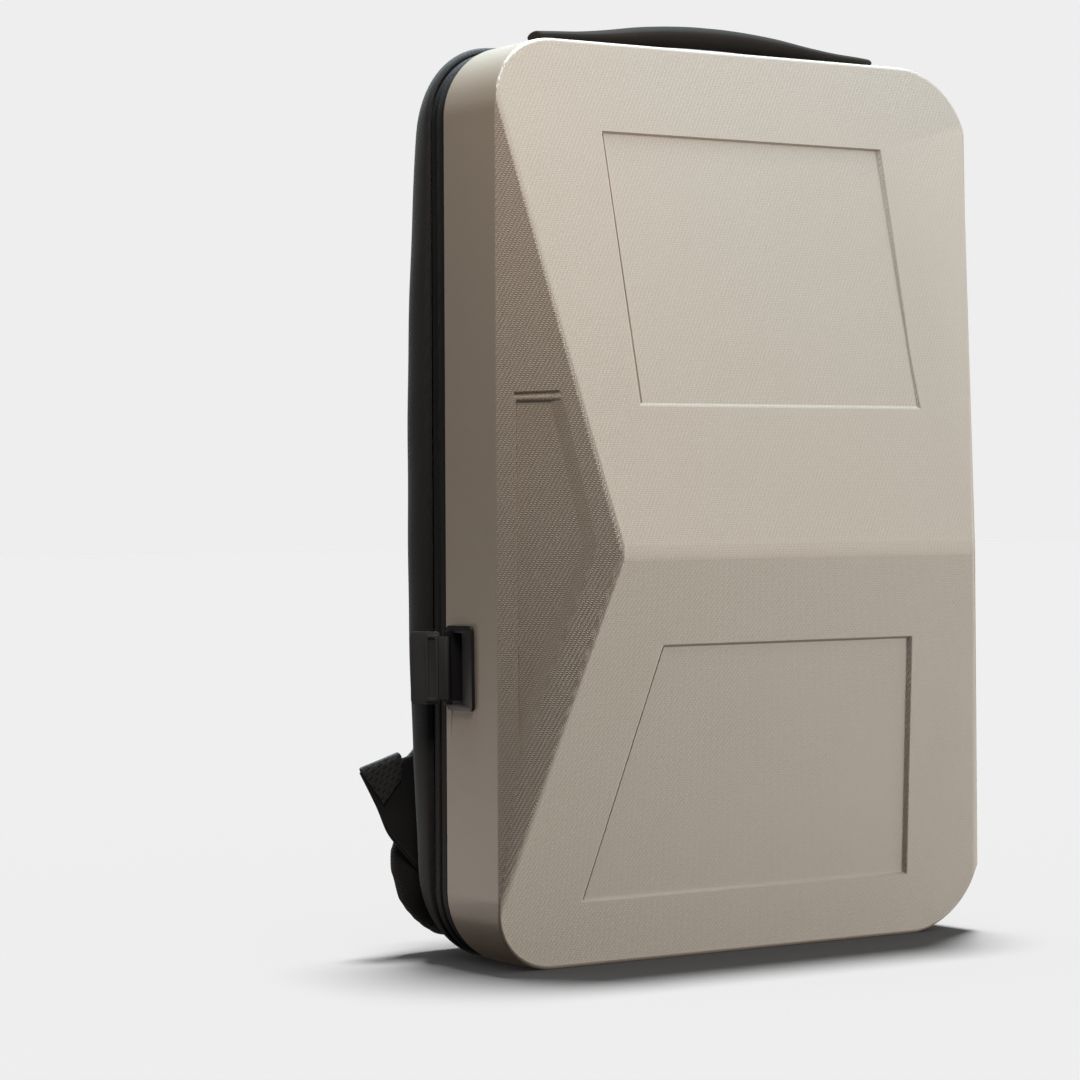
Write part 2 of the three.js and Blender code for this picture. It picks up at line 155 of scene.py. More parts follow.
def round_by_angle(piece, width, steps, angle):
    """Rounds every edge that turns by more than an angle in degrees."""
    limit = math.radians(angle)
    modify(piece, "BEVEL", width=width * MM, segments=steps, limit_method="ANGLE", angle_limit=limit)


def thicken(piece, thickness, offset):
    modify(piece, "SOLIDIFY", thickness=thickness * MM, offset=offset)


def subdivide(piece):
    modify(piece, "SUBSURF", levels=1, render_levels=1)


def join(pieces):
    """Joins pieces into the first one."""
    activate(pieces[0])
    for piece in pieces[1:]:
        piece.select_set(True)
    bpy.ops.object.join()
    return pieces[0]


def smooth(piece, angle):
    activate(piece)
    bpy.ops.object.shade_smooth_by_angle(angle=math.radians(angle))


def rounded_block(name, inset, front, back):
    """The bag's rounded outline as a block between two depths, narrowing to the top."""
    half = HALF_LOW - inset
    piece = block(name, place(-half, front, inset), place(half, back, HEIGHT - inset))
    edit(piece, "VERT")
    pick(piece, lambda v: v.co.z > HEIGHT / 2 * MM, "verts")
    bpy.ops.transform.resize(value=((HALF_HIGH - inset) / half, 1, 1))
    done()
    round_corners(piece, CORNER - inset, Y_AXIS, CORNER_STEPS)
    return piece


def shaped_block(name, lower, upper):
    """A cube whose four corners of each end are moved to the places given."""
    piece = block(name, Vector((-1, -1, -1)), Vector((1, 1, 1)))
    order = [(-1, -1), (1, -1), (1, 1), (-1, 1)]
    for vertex in piece.data.vertices:
        x, y, z = vertex.co
        corners = upper if z > 0 else lower
        vertex.co = corners[order.index((round(x), round(y)))]
    edit(piece, "FACE")
    bpy.ops.mesh.select_all(action="SELECT")
    bpy.ops.mesh.normals_make_consistent(inside=False)
    done()
    return piece


# Camera at the photograph's viewing angle, placed in millimetres and turned in degrees

CAMERA_PLACE = (-992.7, -1338.0, 217.6)
CAMERA_TURN = -32.965
CAMERA_RISE = 0.194
CAMERA_ROLL = -0.726
CAMERA_LENS = 108.59
CAMERA_SENSOR = 36
CAMERA_REACH = 60


def direction(turn, rise):
    """The way to a turn off the front and a rise over the floor, in degrees."""
    turn, rise = math.radians(turn), math.radians(rise)
    return Vector((math.sin(turn) * math.cos(rise), -math.cos(turn) * math.cos(rise), math.sin(rise)))


def add_camera():
    data = bpy.data.cameras.new("camera")
    data.lens = CAMERA_LENS
    data.sensor_width = CAMERA_SENSOR
    data.clip_end = CAMERA_REACH
    turn, roll = math.radians(CAMERA_TURN), math.radians(CAMERA_ROLL)
    back = direction(CAMERA_TURN, CAMERA_RISE)
    level = Vector((math.cos(turn), math.sin(turn), 0))
    top = back.cross(level)
    right = level * math.cos(roll) + top * math.sin(roll)
    up = top * math.cos(roll) - level * math.sin(roll)
    camera = bpy.data.objects.new("camera", data)
    scene.collection.objects.link(camera)
    axes = Matrix((right, up, back)).transposed().to_4x4()
    camera.matrix_world = Matrix.Translation(place(*CAMERA_PLACE)) @ axes
    scene.camera = camera


# Front shell

FACET_WALL = 3
RIDGE_RADIUS = 17
RIDGE_LEAST_LENGTH = 100
HIP_RADIUS = 4
HIP_END_LENGTH = 1.3
RIM_RADIUS = 1.2
RIM_SOFTER = 1.5
WIDEST_BEVEL = 10
BACK_EDGE_ROUND = 0.9
FRONT_SPARE = 4
BACK_SPARE = 1

# Sunk panels: corners (x, z) counter-clockwise, depths at the corners, half-runs of the steps at the sides
UPPER_PANEL = [(-88, 277), (88, 277), (88, 414), (-88, 414)]
UPPER_DEPTHS = [0.4, 0.4, 1.6, 1.6]
UPPER_RUNS = [1.3, 2.4, 0.9, 0.5]
LOWER_PANEL = [(-103, 33), (103, 33), (78, 160), (-78, 160)]
LOWER_DEPTHS = [1.6] * 4
LOWER_RUNS = [1.4, 2.0, 0.7, 0.5]

# Sunk panels and grooves of the side facets: the same, but corners (distance in from the wall, z)
SIDE_PANEL = [(7, 108), (32, 209), (21.5, 280.2), (6.5, 280.2)]
SIDE_DEPTHS = [2.6] * 4
SIDE_RUNS = {-1: [3.2, 3.2, 0.9, 0.9], 1: [0.9, 3.2, 3.2, 0.9]}
SIDE_GROOVE = [(6, 281.9), (20.8, 282.3), (20.8, 284.3), (6, 283.9)]
GROOVE_DEPTHS = [2.2] * 4
GROOVE_RUNS = [0.3] * 4

# Rounding of the steps, and the narrow slot along the left edge of each front panel's floor
STEP_REACH = 2
STEP_LEAST_ANGLE = 12
STEP_ROUND = 0.5
FRONT_HALF = 30
SLOT_WIDTH = 1.1
SLOT_DEPTH = 0.8
SLOT_RUNS = [0.1] * 4

# The film's map has the side facets moved this far along, in metres, so that they can be told apart
SIDE_FILM_SHIFT = 10


def upper_y(z):
    return FOLD_TOP_Y - (HEIGHT - z) * (FOLD_TOP_Y + RIDGE_REACH) / (HEIGHT - RIDGE_Z)


def lower_y(z):
    return FOLD_LOW_Y - z * (FOLD_LOW_Y + RIDGE_REACH) / RIDGE_Z


def side_y(x, z):
    return (abs(x) - half_width(z)) * RIDGE_REACH / RIDGE_INSET


def cut_facet(points):
    """Cuts the block along the plane through three points, counter-clockwise from outside."""
    a, b, c = points
    normal = (b - a).cross(c - a).normalized()
    bpy.ops.mesh.select_all(action="SELECT")
    bpy.ops.mesh.bisect(plane_co=a, plane_no=normal, use_fill=True, clear_outer=True)


def round_edges(piece, radius_of, steps):
    """Rounds the edges that have a radius in millimetres."""
    edit(piece)
    mesh = bmesh.from_edit_mesh(piece.data)
    mesh.normal_update()
    layers = mesh.edges.layers.float
    weight = layers.get("bevel_weight_edge") or layers.new("bevel_weight_edge")
    for edge in mesh.edges:
        edge[weight] = radius_of(edge) * math.tan(edge.calc_face_angle(0) / 2) / WIDEST_BEVEL
    bmesh.update_edit_mesh(piece.data)
    done()
    modify(
        piece, "BEVEL", width=WIDEST_BEVEL * MM, segments=steps, limit_method="WEIGHT", offset_type="OFFSET",
        use_clamp_overlap=False, loop_slide=True,
    )


def faces_front(face):
    """True for the four facets."""
    return face.normal.y < -0.3


def fold_radius(edge):
    """Soft at the ridge, crisp at the hips."""
    if not all(faces_front(face) for face in edge.link_faces):
        return 0
    ridge = along(edge, X_AXIS) and edge.calc_length() > RIDGE_LEAST_LENGTH * MM
    return RIDGE_RADIUS if ridge else HIP_RADIUS


def faces_out(face):
    """True for the outer wall."""
    outward = face.calc_center_median() - place(0, 0, HEIGHT / 2)
    return abs(face.normal.y) < 0.02 and face.normal.dot(outward) > 0


def hip_ends(piece):
    """Places on the rim where two facets meet."""
    mesh = bmesh.new()
    mesh.from_mesh(piece.data)
    mesh.normal_update()
    corners = [v for v in mesh.verts if any(faces_out(face) for face in v.link_faces)]
    ends = [v.co.copy() for v in corners if sum(faces_front(face) for face in v.link_faces) == 2]
    mesh.free()
    return ends


def gather(piece, ends):
    """Draws the ends of the rounded hips together on the rim, so that they run out in a point."""
    edit(piece, "VERT")
    mesh = bmesh.from_edit_mesh(piece.data)
    mesh.normal_update()
    for edge in mesh.edges:
        on_wall = any(faces_out(face) for face in edge.link_faces)
        on_front = any(faces_front(face) for face in edge.link_faces)
        if edge.calc_length() > HIP_END_LENGTH * MM or not on_wall or not on_front:
            continue
        end = min(ends, key=lambda spot: (spot - middle(edge)).length)
        for vertex in edge.verts:
            vertex.co = end
    bmesh.update_edit_mesh(piece.data)
    bpy.ops.mesh.select_all(action="SELECT")
    bpy.ops.mesh.remove_doubles(threshold=1e-5)
    done()


def rim_radius(edge):
    """Crisp along the sides, softer over the top, the bottom and the corners."""
    walls = [face for face in edge.link_faces if faces_out(face)]
    if len(walls) != 1 or not any(faces_front(face) for face in edge.link_faces):
        return 0
    return RIM_RADIUS + RIM_SOFTER * walls[0].normal.z ** 2


def moved_out(corners, distances):
    """Corners of a flat outline (x, z) with each side moved out by its own distance."""
    lines = []
    count = len(corners)
    for i in range(count):
        a, b = Vector(corners[i]), Vector(corners[(i + 1) % count])
        out = Vector((b.y - a.y, a.x - b.x)).normalized() * distances[i]
        lines.append((a + out, b + out))
    moved = []
    for i in range(count):
        (a, b), (c, d) = lines[i - 1], lines[i]
        r, s = b - a, d - c
        t = (c - a).cross(s) / r.cross(s)
        moved.append(a + r * t)
    return moved


def sink_panel(piece, corners, facet, depths, runs):
    """Sinks a flat panel with sloping steps. Corners run counter-clockwise seen from the front."""
    floor = moved_out(corners, [-run for run in runs])
    above = moved_out(corners, runs)
    cutter = shaped_block(
        "cutter",
        [place(p.x, facet(p.x, p.y) - depth, p.y) for p, depth in zip(above, depths)],
        [place(p.x, facet(p.x, p.y) + depth, p.y) for p, depth in zip(floor, depths)],
    )
    carve(piece, cutter)


def facet_block(name, inset, back, behind):
    """The rounded outline cut to four facets, which lie a distance behind the outer ones."""
    piece = rounded_block(name, inset, -RIDGE_REACH - FRONT_SPARE, back)
    apex = half_width(RIDGE_Z) - RIDGE_INSET
    left = place(-apex, behind - RIDGE_REACH, RIDGE_Z)
    right = place(apex, behind - RIDGE_REACH, RIDGE_Z)
    edit(piece)
    cut_facet((left, right, place(0, behind + FOLD_TOP_Y, HEIGHT)))
    cut_facet((right, left, place(0, behind + FOLD_LOW_Y, 0)))
    cut_facet((left, place(-HALF_HIGH, behind, HEIGHT), place(-HALF_LOW, behind, 0)))
    cut_facet((right, place(HALF_LOW, behind, 0), place(HALF_HIGH, behind, HEIGHT)))
    done()
    return piece


def on_side(side, rows):
    """Corners (x, z) on a side facet, counter-clockwise seen from the front."""
    corners = [(side * (half_width(z) - inward), z) for inward, z in rows]
    return corners if side < 0 else corners[::-1]


def on_side_facet(face):
    return 0.4 < abs(face.normal.x) < 0.95 and face.normal.y < -0.2


def lay_film(piece):
    """Lays the film's weave flat on every face, in metres, with the side facets apart from the rest."""
    mesh = bmesh.new()
    mesh.from_mesh(piece.data)
    layer = mesh.loops.layers.uv.new("weave")
    for face in mesh.faces:
        upright = Vector((0, 0, 1)) if abs(face.normal.z) < 0.8 else Vector((0, 1, 0))
        level = upright.cross(face.normal).normalized()
        rise = face.normal.cross(level)
        apart = SIDE_FILM_SHIFT if on_side_facet(face) else 0
        for loop in face.loops:
            loop[layer].uv = (loop.vert.co.dot(level) + apart, loop.vert.co.dot(rise))
    mesh.to_mesh(piece.data)
    mesh.free()


def within(corners, x, z):
    """Says whether a point lies inside an outline that runs counter-clockwise."""
    pairs = zip(corners, corners[1:] + corners[:1])
    return all((b[0] - a[0]) * (z - a[1]) - (b[1] - a[1]) * (x - a[0]) > 0 for a, b in pairs)


FRONT_PANELS = (
    (UPPER_PANEL, lambda x, z: upper_y(z), UPPER_DEPTHS, UPPER_RUNS),
    (LOWER_PANEL, lambda x, z: lower_y(z), LOWER_DEPTHS, LOWER_RUNS),
)


def sink_panels(piece):
    """Sinks all the panels and grooves, and gives back their outlines."""
    for panel, facet, depths, runs in FRONT_PANELS:
        sink_panel(piece, panel, facet, depths, runs)
    outlines = [UPPER_PANEL, LOWER_PANEL]
    for side in (-1, 1):
        panel, groove = on_side(side, SIDE_PANEL), on_side(side, SIDE_GROOVE)
        sink_panel(piece, panel, side_y, SIDE_DEPTHS, SIDE_RUNS[side])
        sink_panel(piece, groove, side_y, GROOVE_DEPTHS, GROOVE_RUNS)
        outlines += [panel, groove]
    return outlines


def ease_steps(piece, outlines):
    """Rounds the edges of the steps around the panels."""
    regions = [[tuple(p) for p in moved_out(outline, [STEP_REACH] * 4)] for outline in outlines]

    def on_step(edge):
        spot = middle(edge)
        behind = spot.y > place(0, FRONT_HALF, 0).y
        if behind or edge.calc_face_angle(0) < math.radians(STEP_LEAST_ANGLE):
            return False
        return any(within(region, spot.x / MM, spot.z / MM) for region in regions)

    edit(piece)
    pick(piece, on_step)
    bevel(STEP_ROUND, 2)
    done()


def score_panels(piece):
    """Cuts the narrow slot along the left edge of each front panel's floor."""
    for panel, facet, depths, runs in FRONT_PANELS:
        floor = moved_out(panel, [-run for run in runs])
        inner = moved_out(floor, [0, 0, 0, -SLOT_WIDTH])
        slot_depths = [depth + SLOT_DEPTH for depth in depths]
        sink_panel(piece, [floor[0], inner[0], inner[3], floor[3]], facet, slot_depths, SLOT_RUNS)


def front_shell():
    piece = facet_block("shell", 0, SHELL_DEPTH, 0)
    ends = hip_ends(piece)
    round_edges(piece, fold_radius, 5)
    gather(piece, ends)
    back_edge = place(0, SHELL_DEPTH, 0).y
    edit(piece)
    pick(piece, lambda e: all(abs(v.co.y - back_edge) < 1e-6 for v in e.verts))
    bevel(BACK_EDGE_ROUND)
    done()
    ease_steps(piece, sink_panels(piece))
    score_panels(piece)
    carve(piece, facet_block("hollow", SHELL_WALL, SHELL_DEPTH + BACK_SPARE, FACET_WALL))
    carve(piece, port_block("hole", *SHELL_HOLE))
    round_edges(piece, rim_radius, 4)
    lay_film(piece)
    smooth(piece, 28)
    modify(piece, "WEIGHTED_NORMAL", keep_sharp=True)
    return piece


# Lofts and runs for the soft pieces

RUN_FINENESS = 40
TUBE_SIDES = 8
OUTLINE_CORNER_STEPS = 10
OUTLINE_SIDE_STEPS = 24


def skin(name, rows, loop=True, cap_first=False, cap_last=False):
    """A surface over rows of points, each with the same count."""
    mesh = bmesh.new()
    rings = [[mesh.verts.new(point) for point in row] for row in rows]
    count = len(rings[0])
    for ring, after in zip(rings, rings[1:]):
        for i in range(count if loop else count - 1):
            j = (i + 1) % count
            mesh.faces.new((ring[i], ring[j], after[j], after[i]))
    if cap_first:
        mesh.faces.new(rings[0])
    if cap_last:
        mesh.faces.new(rings[-1])
    bmesh.ops.recalc_face_normals(mesh, faces=mesh.faces)
    data = bpy.data.meshes.new(name)
    mesh.to_mesh(data)
    mesh.free()
    piece = bpy.data.objects.new(name, data)
    scene.collection.objects.link(piece)
    return piece


def between(stations, t):
    """A smooth value through the stations, t from 0 to their last index."""
    i = min(int(t), len(stations) - 2)
    f = t - i
    rows = [stations[min(max(k, 0), len(stations) - 1)] for k in (i - 1, i, i + 1, i + 2)]
    weights = (
        -0.5 * f + f * f - 0.5 * f ** 3,
        1 - 2.5 * f * f + 1.5 * f ** 3,
        0.5 * f + 2 * f * f - 1.5 * f ** 3,
        -0.5 * f * f + 0.5 * f ** 3,
    )
    return [sum(w * row[k] for w, row in zip(weights, rows)) for k in range(len(stations[0]))]


def even_run(stations, count):
    """Points of a smooth run through the stations, spaced evenly along it."""
    steps = RUN_FINENESS * (len(stations) - 1)
    points = [between(stations, i / RUN_FINENESS) for i in range(steps + 1)]
    reach = [0.0]
    for a, b in zip(points, points[1:]):
        reach.append(reach[-1] + math.dist(a[:3], b[:3]))
    run, k = [], 0
    for i in range(count):
        goal = reach[-1] * i / (count - 1)
        while k < steps - 1 and reach[k + 1] < goal:
            k += 1
        f = (goal - reach[k]) / (reach[k + 1] - reach[k])
        run.append([a + (b - a) * f for a, b in zip(points[k], points[k + 1])])
    return run


def band(name, run, profile):
    """A flat profile (share of the half-width, millimetres) swept along a run (place, way across, width)."""
    rows = []
    for i, row in enumerate(run):
        before, after = run[max(i - 1, 0)], run[min(i + 1, len(run) - 1)]
        tangent = (Vector(after[:3]) - Vector(before[:3])).normalized()
        across = Vector(row[3:6]).normalized()
        normal = tangent.cross(across).normalized()
        centre = Vector(row[:3])
        rows.append([place(*(centre + across * (u * row[6] / 2) + normal * v)) for u, v in profile])
    return skin(name, rows, cap_first=True, cap_last=True)


def powered(value, power):
    """A sine or cosine raised to a power with its sign kept, which squares or peaks an oval."""
    return math.copysign(abs(value) ** power, value)


def oval(thickness, points, flat, crown):
    """A flat rounded profile for a padded strap."""
    profile = []
    for i in range(points):
        angle = 2 * math.pi * (i + 0.5) / points
        profile.append((powered(math.cos(angle), flat), powered(math.sin(angle), crown) * thickness / 2))
    return profile


def rounded_outline(low, high, bottom, top, corner, bow=0):
    """Points (x, z) of an upright rounded outline, from the low left corner counter-clockwise."""
    def half(z):
        return low + (high - low) * (z - bottom) / (top - bottom)

    corner_steps, side_steps = OUTLINE_CORNER_STEPS, OUTLINE_SIDE_STEPS
    zl, zh = bottom + corner, top - corner
    xl, xh = half(zl) - corner, half(zh) - corner
    centres = [(-xl, zl), (xl, zl), (xh, zh), (-xh, zh)]
    arcs = []
    for i, (x, z) in enumerate(centres):
        turns = [math.pi * (1 + i / 2 + step / corner_steps / 2) for step in range(corner_steps + 1)]
        arcs.append([(x + corner * math.cos(a), z + corner * math.sin(a)) for a in turns])
    points = []
    for i, arc in enumerate(arcs):
        a, b = Vector(arc[-1]), Vector(arcs[(i + 1) % 4][0])
        out = Vector((b.y - a.y, a.x - b.x)).normalized() * (bow if i else 0)
        points += arc
        for step in range(1, side_steps):
            t = step / side_steps
            p = a.lerp(b, t) + out * 4 * t * (1 - t)
            points.append((p.x, p.y))
    return points


def mirrored(piece, name):
    """A copy on the other side of the bag, with its own mesh."""
    activate(piece)
    bpy.ops.object.duplicate(linked=False)
    copy = bpy.context.object
    copy.name = name
    copy.scale.x = -1
    bpy.ops.object.transform_apply(location=False, rotation=False, scale=True)
    edit(copy, "FACE")
    bpy.ops.mesh.select_all(action="SELECT")
    bpy.ops.mesh.normals_make_consistent(inside=False)
    done()
    return copy


def tube(name, run, radius, loop=False):
    """Round piping along points in millimetres."""
    rows = []
    count = len(run)
    for i, point in enumerate(run):
        before = run[(i - 1) % count] if loop else run[max(i - 1, 0)]
        after = run[(i + 1) % count] if loop else run[min(i + 1, count - 1)]
        tangent = (Vector(after) - Vector(before)).normalized()
        side = tangent.cross(Vector((0, 1, 0)))
        if side.length < 0.1:
            side = tangent.cross(Vector((1, 0, 0)))
        side.normalize()
        other = tangent.cross(side)
        rows.append([
            place(*(Vector(point) + (side * math.cos(a) + other * math.sin(a)) * radius))
            for a in (2 * math.pi * k / TUBE_SIDES for k in range(TUBE_SIDES))
        ])
    if loop:
        rows.append(rows[0])
    piece = skin(name, rows, cap_first=not loop, cap_last=not loop)
    if loop:
        edit(piece, "VERT")
        bpy.ops.mesh.select_all(action="SELECT")
        bpy.ops.mesh.remove_doubles(threshold=1e-6)
        bpy.ops.mesh.normals_make_consistent(inside=False)
        done()
    smooth(piece, 60)
    return piece


# Zip between the shell and the soft back: two raised tapes that meet in a sunk line

ZIP_INSET = 1.6
ZIP_FRONT = 48.5
ZIP_BACK = 61.6
ZIP_TAPE_EDGES = (49.9, 53.9, 56.1, 60.2)
ZIP_TAPE_FEET = (49.4, 54.5, 55.5, 60.8)
ZIP_TAPE_RISE = 0.5
ZIP_LINE = 55.0
ZIP_LINE_SINK = 0.7
ZIP_WALL = 1.4


def zip_band():
    piece = rounded_block("zip_tape", ZIP_INSET, ZIP_FRONT, ZIP_BACK)
    edit(piece, "FACE")
    pick(piece, lambda f: abs(f.normal.y) > 0.9, "faces")
    bpy.ops.mesh.delete(type="FACE")
    for depth in sorted((*ZIP_TAPE_EDGES, *ZIP_TAPE_FEET, ZIP_LINE)):
        bpy.ops.mesh.select_all(action="SELECT")
        bpy.ops.mesh.bisect(plane_co=place(0, depth, 0), plane_no=(0, 1, 0))
    bpy.ops.mesh.select_mode(type="VERT")
    for depths, move in ((ZIP_TAPE_EDGES, ZIP_TAPE_RISE), ((ZIP_LINE,), -ZIP_LINE_SINK)):
        marks = [place(0, depth, 0).y for depth in depths]
        pick(piece, lambda v: min(abs(v.co.y - mark) for mark in marks) < 1e-5, "verts")
        bpy.ops.transform.shrink_fatten(value=move * MM)
    done()
    thicken(piece, ZIP_WALL, -1)
    smooth(piece, 40)
    return piece


# Soft back

# Columns: depth, outline moved out, bow of its sides, lift of its foot, corner radius, rise of its top
TRAY_SECTIONS = [
    (61.9, -1.2, 0, 1, 37, 0.6),
    (63.2, 0.2, 1.2, 0, 38.5, 1.6),
    (66, 0.6, 2.8, 0, 40, 2.2),
    (72, 0.2, 4.6, 0, 43, 2.6),
    (79, -2.0, 5.4, 1, 47, 2.4),
    (85, -6.8, 5.4, 5, 50, 1.4),
    (88.6, -13, 4.4, 11, 50, 0.4),
    (89.5, -17, 4, 15, 50, 0),
]
TRAY_DEPTHS = (61.9, 62.4, 63.2, 64.4, 66, 68.5, 72, 75.5, 79, 82, 85, 87, 88.6, 89.2, 89.5)
TRAY_WALL = 2.4
TRAY_LOWEST = 0.2
RIPPLE = 0.0028
BACK_CENTRE_Z = 222
BACK_RINGS = (0.97, 0.9, 0.75, 0.5, 0.25)
PIPING_Y = 87.9
PIPING_RADIUS = 1.6
PIPING_SPREAD = 1.004
PIPING_LOWEST = 12.5


def outline_at(depth):
    """The soft back's outline (x, z) at a depth."""
    k = max(i for i, row in enumerate(TRAY_SECTIONS) if row[0] <= depth + 1e-9)
    k = min(k, len(TRAY_SECTIONS) - 2)
    a, b = TRAY_SECTIONS[k], TRAY_SECTIONS[k + 1]
    _, off, bow, lift, corner, rise = between(TRAY_SECTIONS, k + (depth - a[0]) / (b[0] - a[0]))
    return rounded_outline(HALF_LOW + off, HALF_HIGH + off, lift, HEIGHT + off + rise, corner, bow)


def ripple(x, depth, z):
    """Slight folds of the gusset, from -1 to 1."""
    return math.sin(z / 31 + x / 47) * math.sin(z / 13.7 - x / 23 + depth / 9)


def back_tray():
    """The gusset through its sections, with slight ripples, and the back closed by shrinking rings."""
    first, last = TRAY_DEPTHS[0], TRAY_DEPTHS[-1]
    rows = []
    for depth in TRAY_DEPTHS:
        swell = math.sin(math.pi * (depth - first) / (last - first))
        row = []
        for x, z in outline_at(depth):
            grow = 1 + RIPPLE * swell * ripple(x, depth, z)
            row.append(place(x * grow, depth, max(z, TRAY_LOWEST)))
        rows.append(row)
    edge = [(p.x / MM, p.z / MM) for p in rows[-1]]
    for share in BACK_RINGS:
        rows.append([place(x * share, last, BACK_CENTRE_Z + (z - BACK_CENTRE_Z) * share) for x, z in edge])
    piece = skin("soft_back", rows, cap_last=True)
    thicken(piece, TRAY_WALL, -1)
    subdivide(piece)
    smooth(piece, 60)
    return piece


def back_piping():
    run = [(x * PIPING_SPREAD, PIPING_Y, max(z, PIPING_LOWEST)) for x, z in outline_at(PIPING_Y)]
    return tube("back_piping", run, PIPING_RADIUS, loop=True)


# Pads, swelled by simulated cloth

PUFF_STEPS = 20
PUFF_PRESSURE = 4
PUFF_QUALITY = 6
PAD_LOWEST = 0.3

# Columns: depth, shrink of the outline, lift of its foot
LUMBAR_SECTIONS = ((91.5, 16, 11), (94, 9, 7), (99, 2.5, 5), (105, 5, 6), (109, 16, 13))
LUMBAR_HALF_LOW = 161
LUMBAR_HALF_HIGH = 159
LUMBAR_TOP = 98
LUMBAR_CORNER = 48
LUMBAR_VOXEL = 5
LUMBAR_SWELL = 3

# Columns: depth, shrink of the outline
BACK_PAD_SECTIONS = ((90.4, 4), (93.5, 1.5), (97.0, 3.5), (99.0, 11))
BACK_PAD_HALF_LOW = 116
BACK_PAD_HALF_HIGH = 108
BACK_PAD_BOTTOM = 102
BACK_PAD_TOP = 420
BACK_PAD_CORNER = 34
BACK_PAD_FLOOR = 91.2
BACK_PAD_FIRST_VOXEL = 4
BACK_PAD_VOXEL = 3.6
BACK_PAD_SWELL = 2.2
MIDDLE_CHANNEL = 7
CROSS_CHANNEL = 4
CROSS_CHANNELS_Z = (182, 261, 340)
CHANNEL_SINK = 0.75
CHANNEL_HELD = 0.5


def remesh(piece, voxel):
    modify(piece, "REMESH", mode="VOXEL", voxel_size=voxel * MM)


def swell_cloth(piece):
    """Runs the cloth under pressure and keeps its last step."""
    cloth = piece.modifiers.new("Cloth", "CLOTH")
    cloth.settings.use_pressure = True
    cloth.settings.uniform_pressure_force = PUFF_PRESSURE
    cloth.settings.effector_weights.gravity = 0
    cloth.settings.quality = PUFF_QUALITY
    cloth.settings.vertex_group_mass = "held"
    cloth.point_cache.frame_start = 1
    cloth.point_cache.frame_end = PUFF_STEPS
    for step in range(1, PUFF_STEPS + 1):
        scene.frame_set(step)
    activate(piece)
    bpy.ops.object.modifier_apply(modifier=cloth.name)
    scene.frame_set(1)


def puff(piece, voxel, most, channels=None):
    """Remeshes a pad and swells it by a few millimetres at most, with its sewn channels held in."""
    remesh(piece, voxel)
    activate(piece)
    rest = [v.co.copy() for v in piece.data.vertices]
    held = piece.vertex_groups.new(name="held")
    for v in piece.data.vertices:
        if channels and channels(v.co) < CHANNEL_HELD:
            held.add([v.index], 1.0, "REPLACE")
    swell_cloth(piece)
    for v, start in zip(piece.data.vertices, rest):
        move = v.co - start
        if move.length > most * MM:
            v.co = start + move.normalized() * most * MM
    piece.vertex_groups.clear()
    modify(piece, "SMOOTH", factor=0.5, iterations=2)
    subdivide(piece)
    for v in piece.data.vertices:
        v.co.z = max(v.co.z, PAD_LOWEST * MM)
    smooth(piece, 80)
    return piece


def lumbar_pad():
    rows = []
    for depth, shrink, lift in LUMBAR_SECTIONS:
        outline = rounded_outline(
            LUMBAR_HALF_LOW - shrink, LUMBAR_HALF_HIGH - shrink, lift, LUMBAR_TOP - shrink,
            LUMBAR_CORNER - (shrink + lift) / 2,
        )
        rows.append([place(x, depth, z) for x, z in outline])
    piece = skin("lumbar_cushion", rows, cap_first=True, cap_last=True)
    return puff(piece, LUMBAR_VOXEL, LUMBAR_SWELL)


def channel_distance(point):
    """Distance to the nearest sewn channel of the back pad, in half-widths of a channel."""
    x, z = abs(point.x) / MM, point.z / MM
    return min([x / MIDDLE_CHANNEL] + [abs(z - row) / CROSS_CHANNEL for row in CROSS_CHANNELS_Z])


def back_pad():
    rows = []
    for depth, shrink in BACK_PAD_SECTIONS:
        outline = rounded_outline(
            BACK_PAD_HALF_LOW - shrink, BACK_PAD_HALF_HIGH - shrink, BACK_PAD_BOTTOM + shrink,
            BACK_PAD_TOP - shrink, BACK_PAD_CORNER - shrink,
        )
        rows.append([place(x, depth, z) for x, z in outline])
    piece = skin("back_cushion", rows, cap_first=True, cap_last=True)
    remesh(piece, BACK_PAD_FIRST_VOXEL)
    floor = place(0, BACK_PAD_FLOOR, 0).y
    for v in piece.data.vertices:
        sunk = max(0.0, 1 - channel_distance(v.co))
        if v.co.y > floor:
            v.co.y = floor + (v.co.y - floor) * (1 - CHANNEL_SINK * sunk)
    return puff(piece, BACK_PAD_VOXEL, BACK_PAD_SWELL, channel_distance)


# Shoulder strap of the left side

# Columns: place x, y, z, way across x, y, z, width
STRAP = [
    (-46, 95.1, 441, 1, 0, 0, 58),
    (-46, 95.9, 432, 1, 0, 0, 58),
    (-47, 105, 418, 1, 0, 0, 58),
    (-50, 116, 392, 1, 0, 0, 60),
    (-57, 127, 340, 1, 0, 0, 64),
    (-68, 131, 280, 1, 0, 0, 64),
    (-79, 128, 224, 1, 0, 0, 58),
    (-86.5, 122.7, 183.4, 1, 0, 0, 42),
]
STRAP_STEPS = 60
STRAP_THICKNESS = 9.6
STRAP_SIDES = 20
STRAP_EDGE_POWER = 0.3
STRAP_FACE_POWER = 0.7
STRAP_TRIM = 3
STRAP_END_ROUND = 2.2
BINDING_INSET = 1.4
BINDING_RADIUS = 2.4
BUCKLE_LOW = (-110, 119.6, 158.6)
BUCKLE_HIGH = (-70, 124.4, 182.4)
BUCKLE_CORNER = 3.5
BUCKLE_ROUND = 0.8
BUCKLE_SLOTS_Z = (165.5, 175.5)
BUCKLE_SLOT_LOW = (-105, 110, -1.9)
BUCKLE_SLOT_HIGH = (-75, 130, 1.9)
BUCKLE_SLOT_CORNER = 1.2


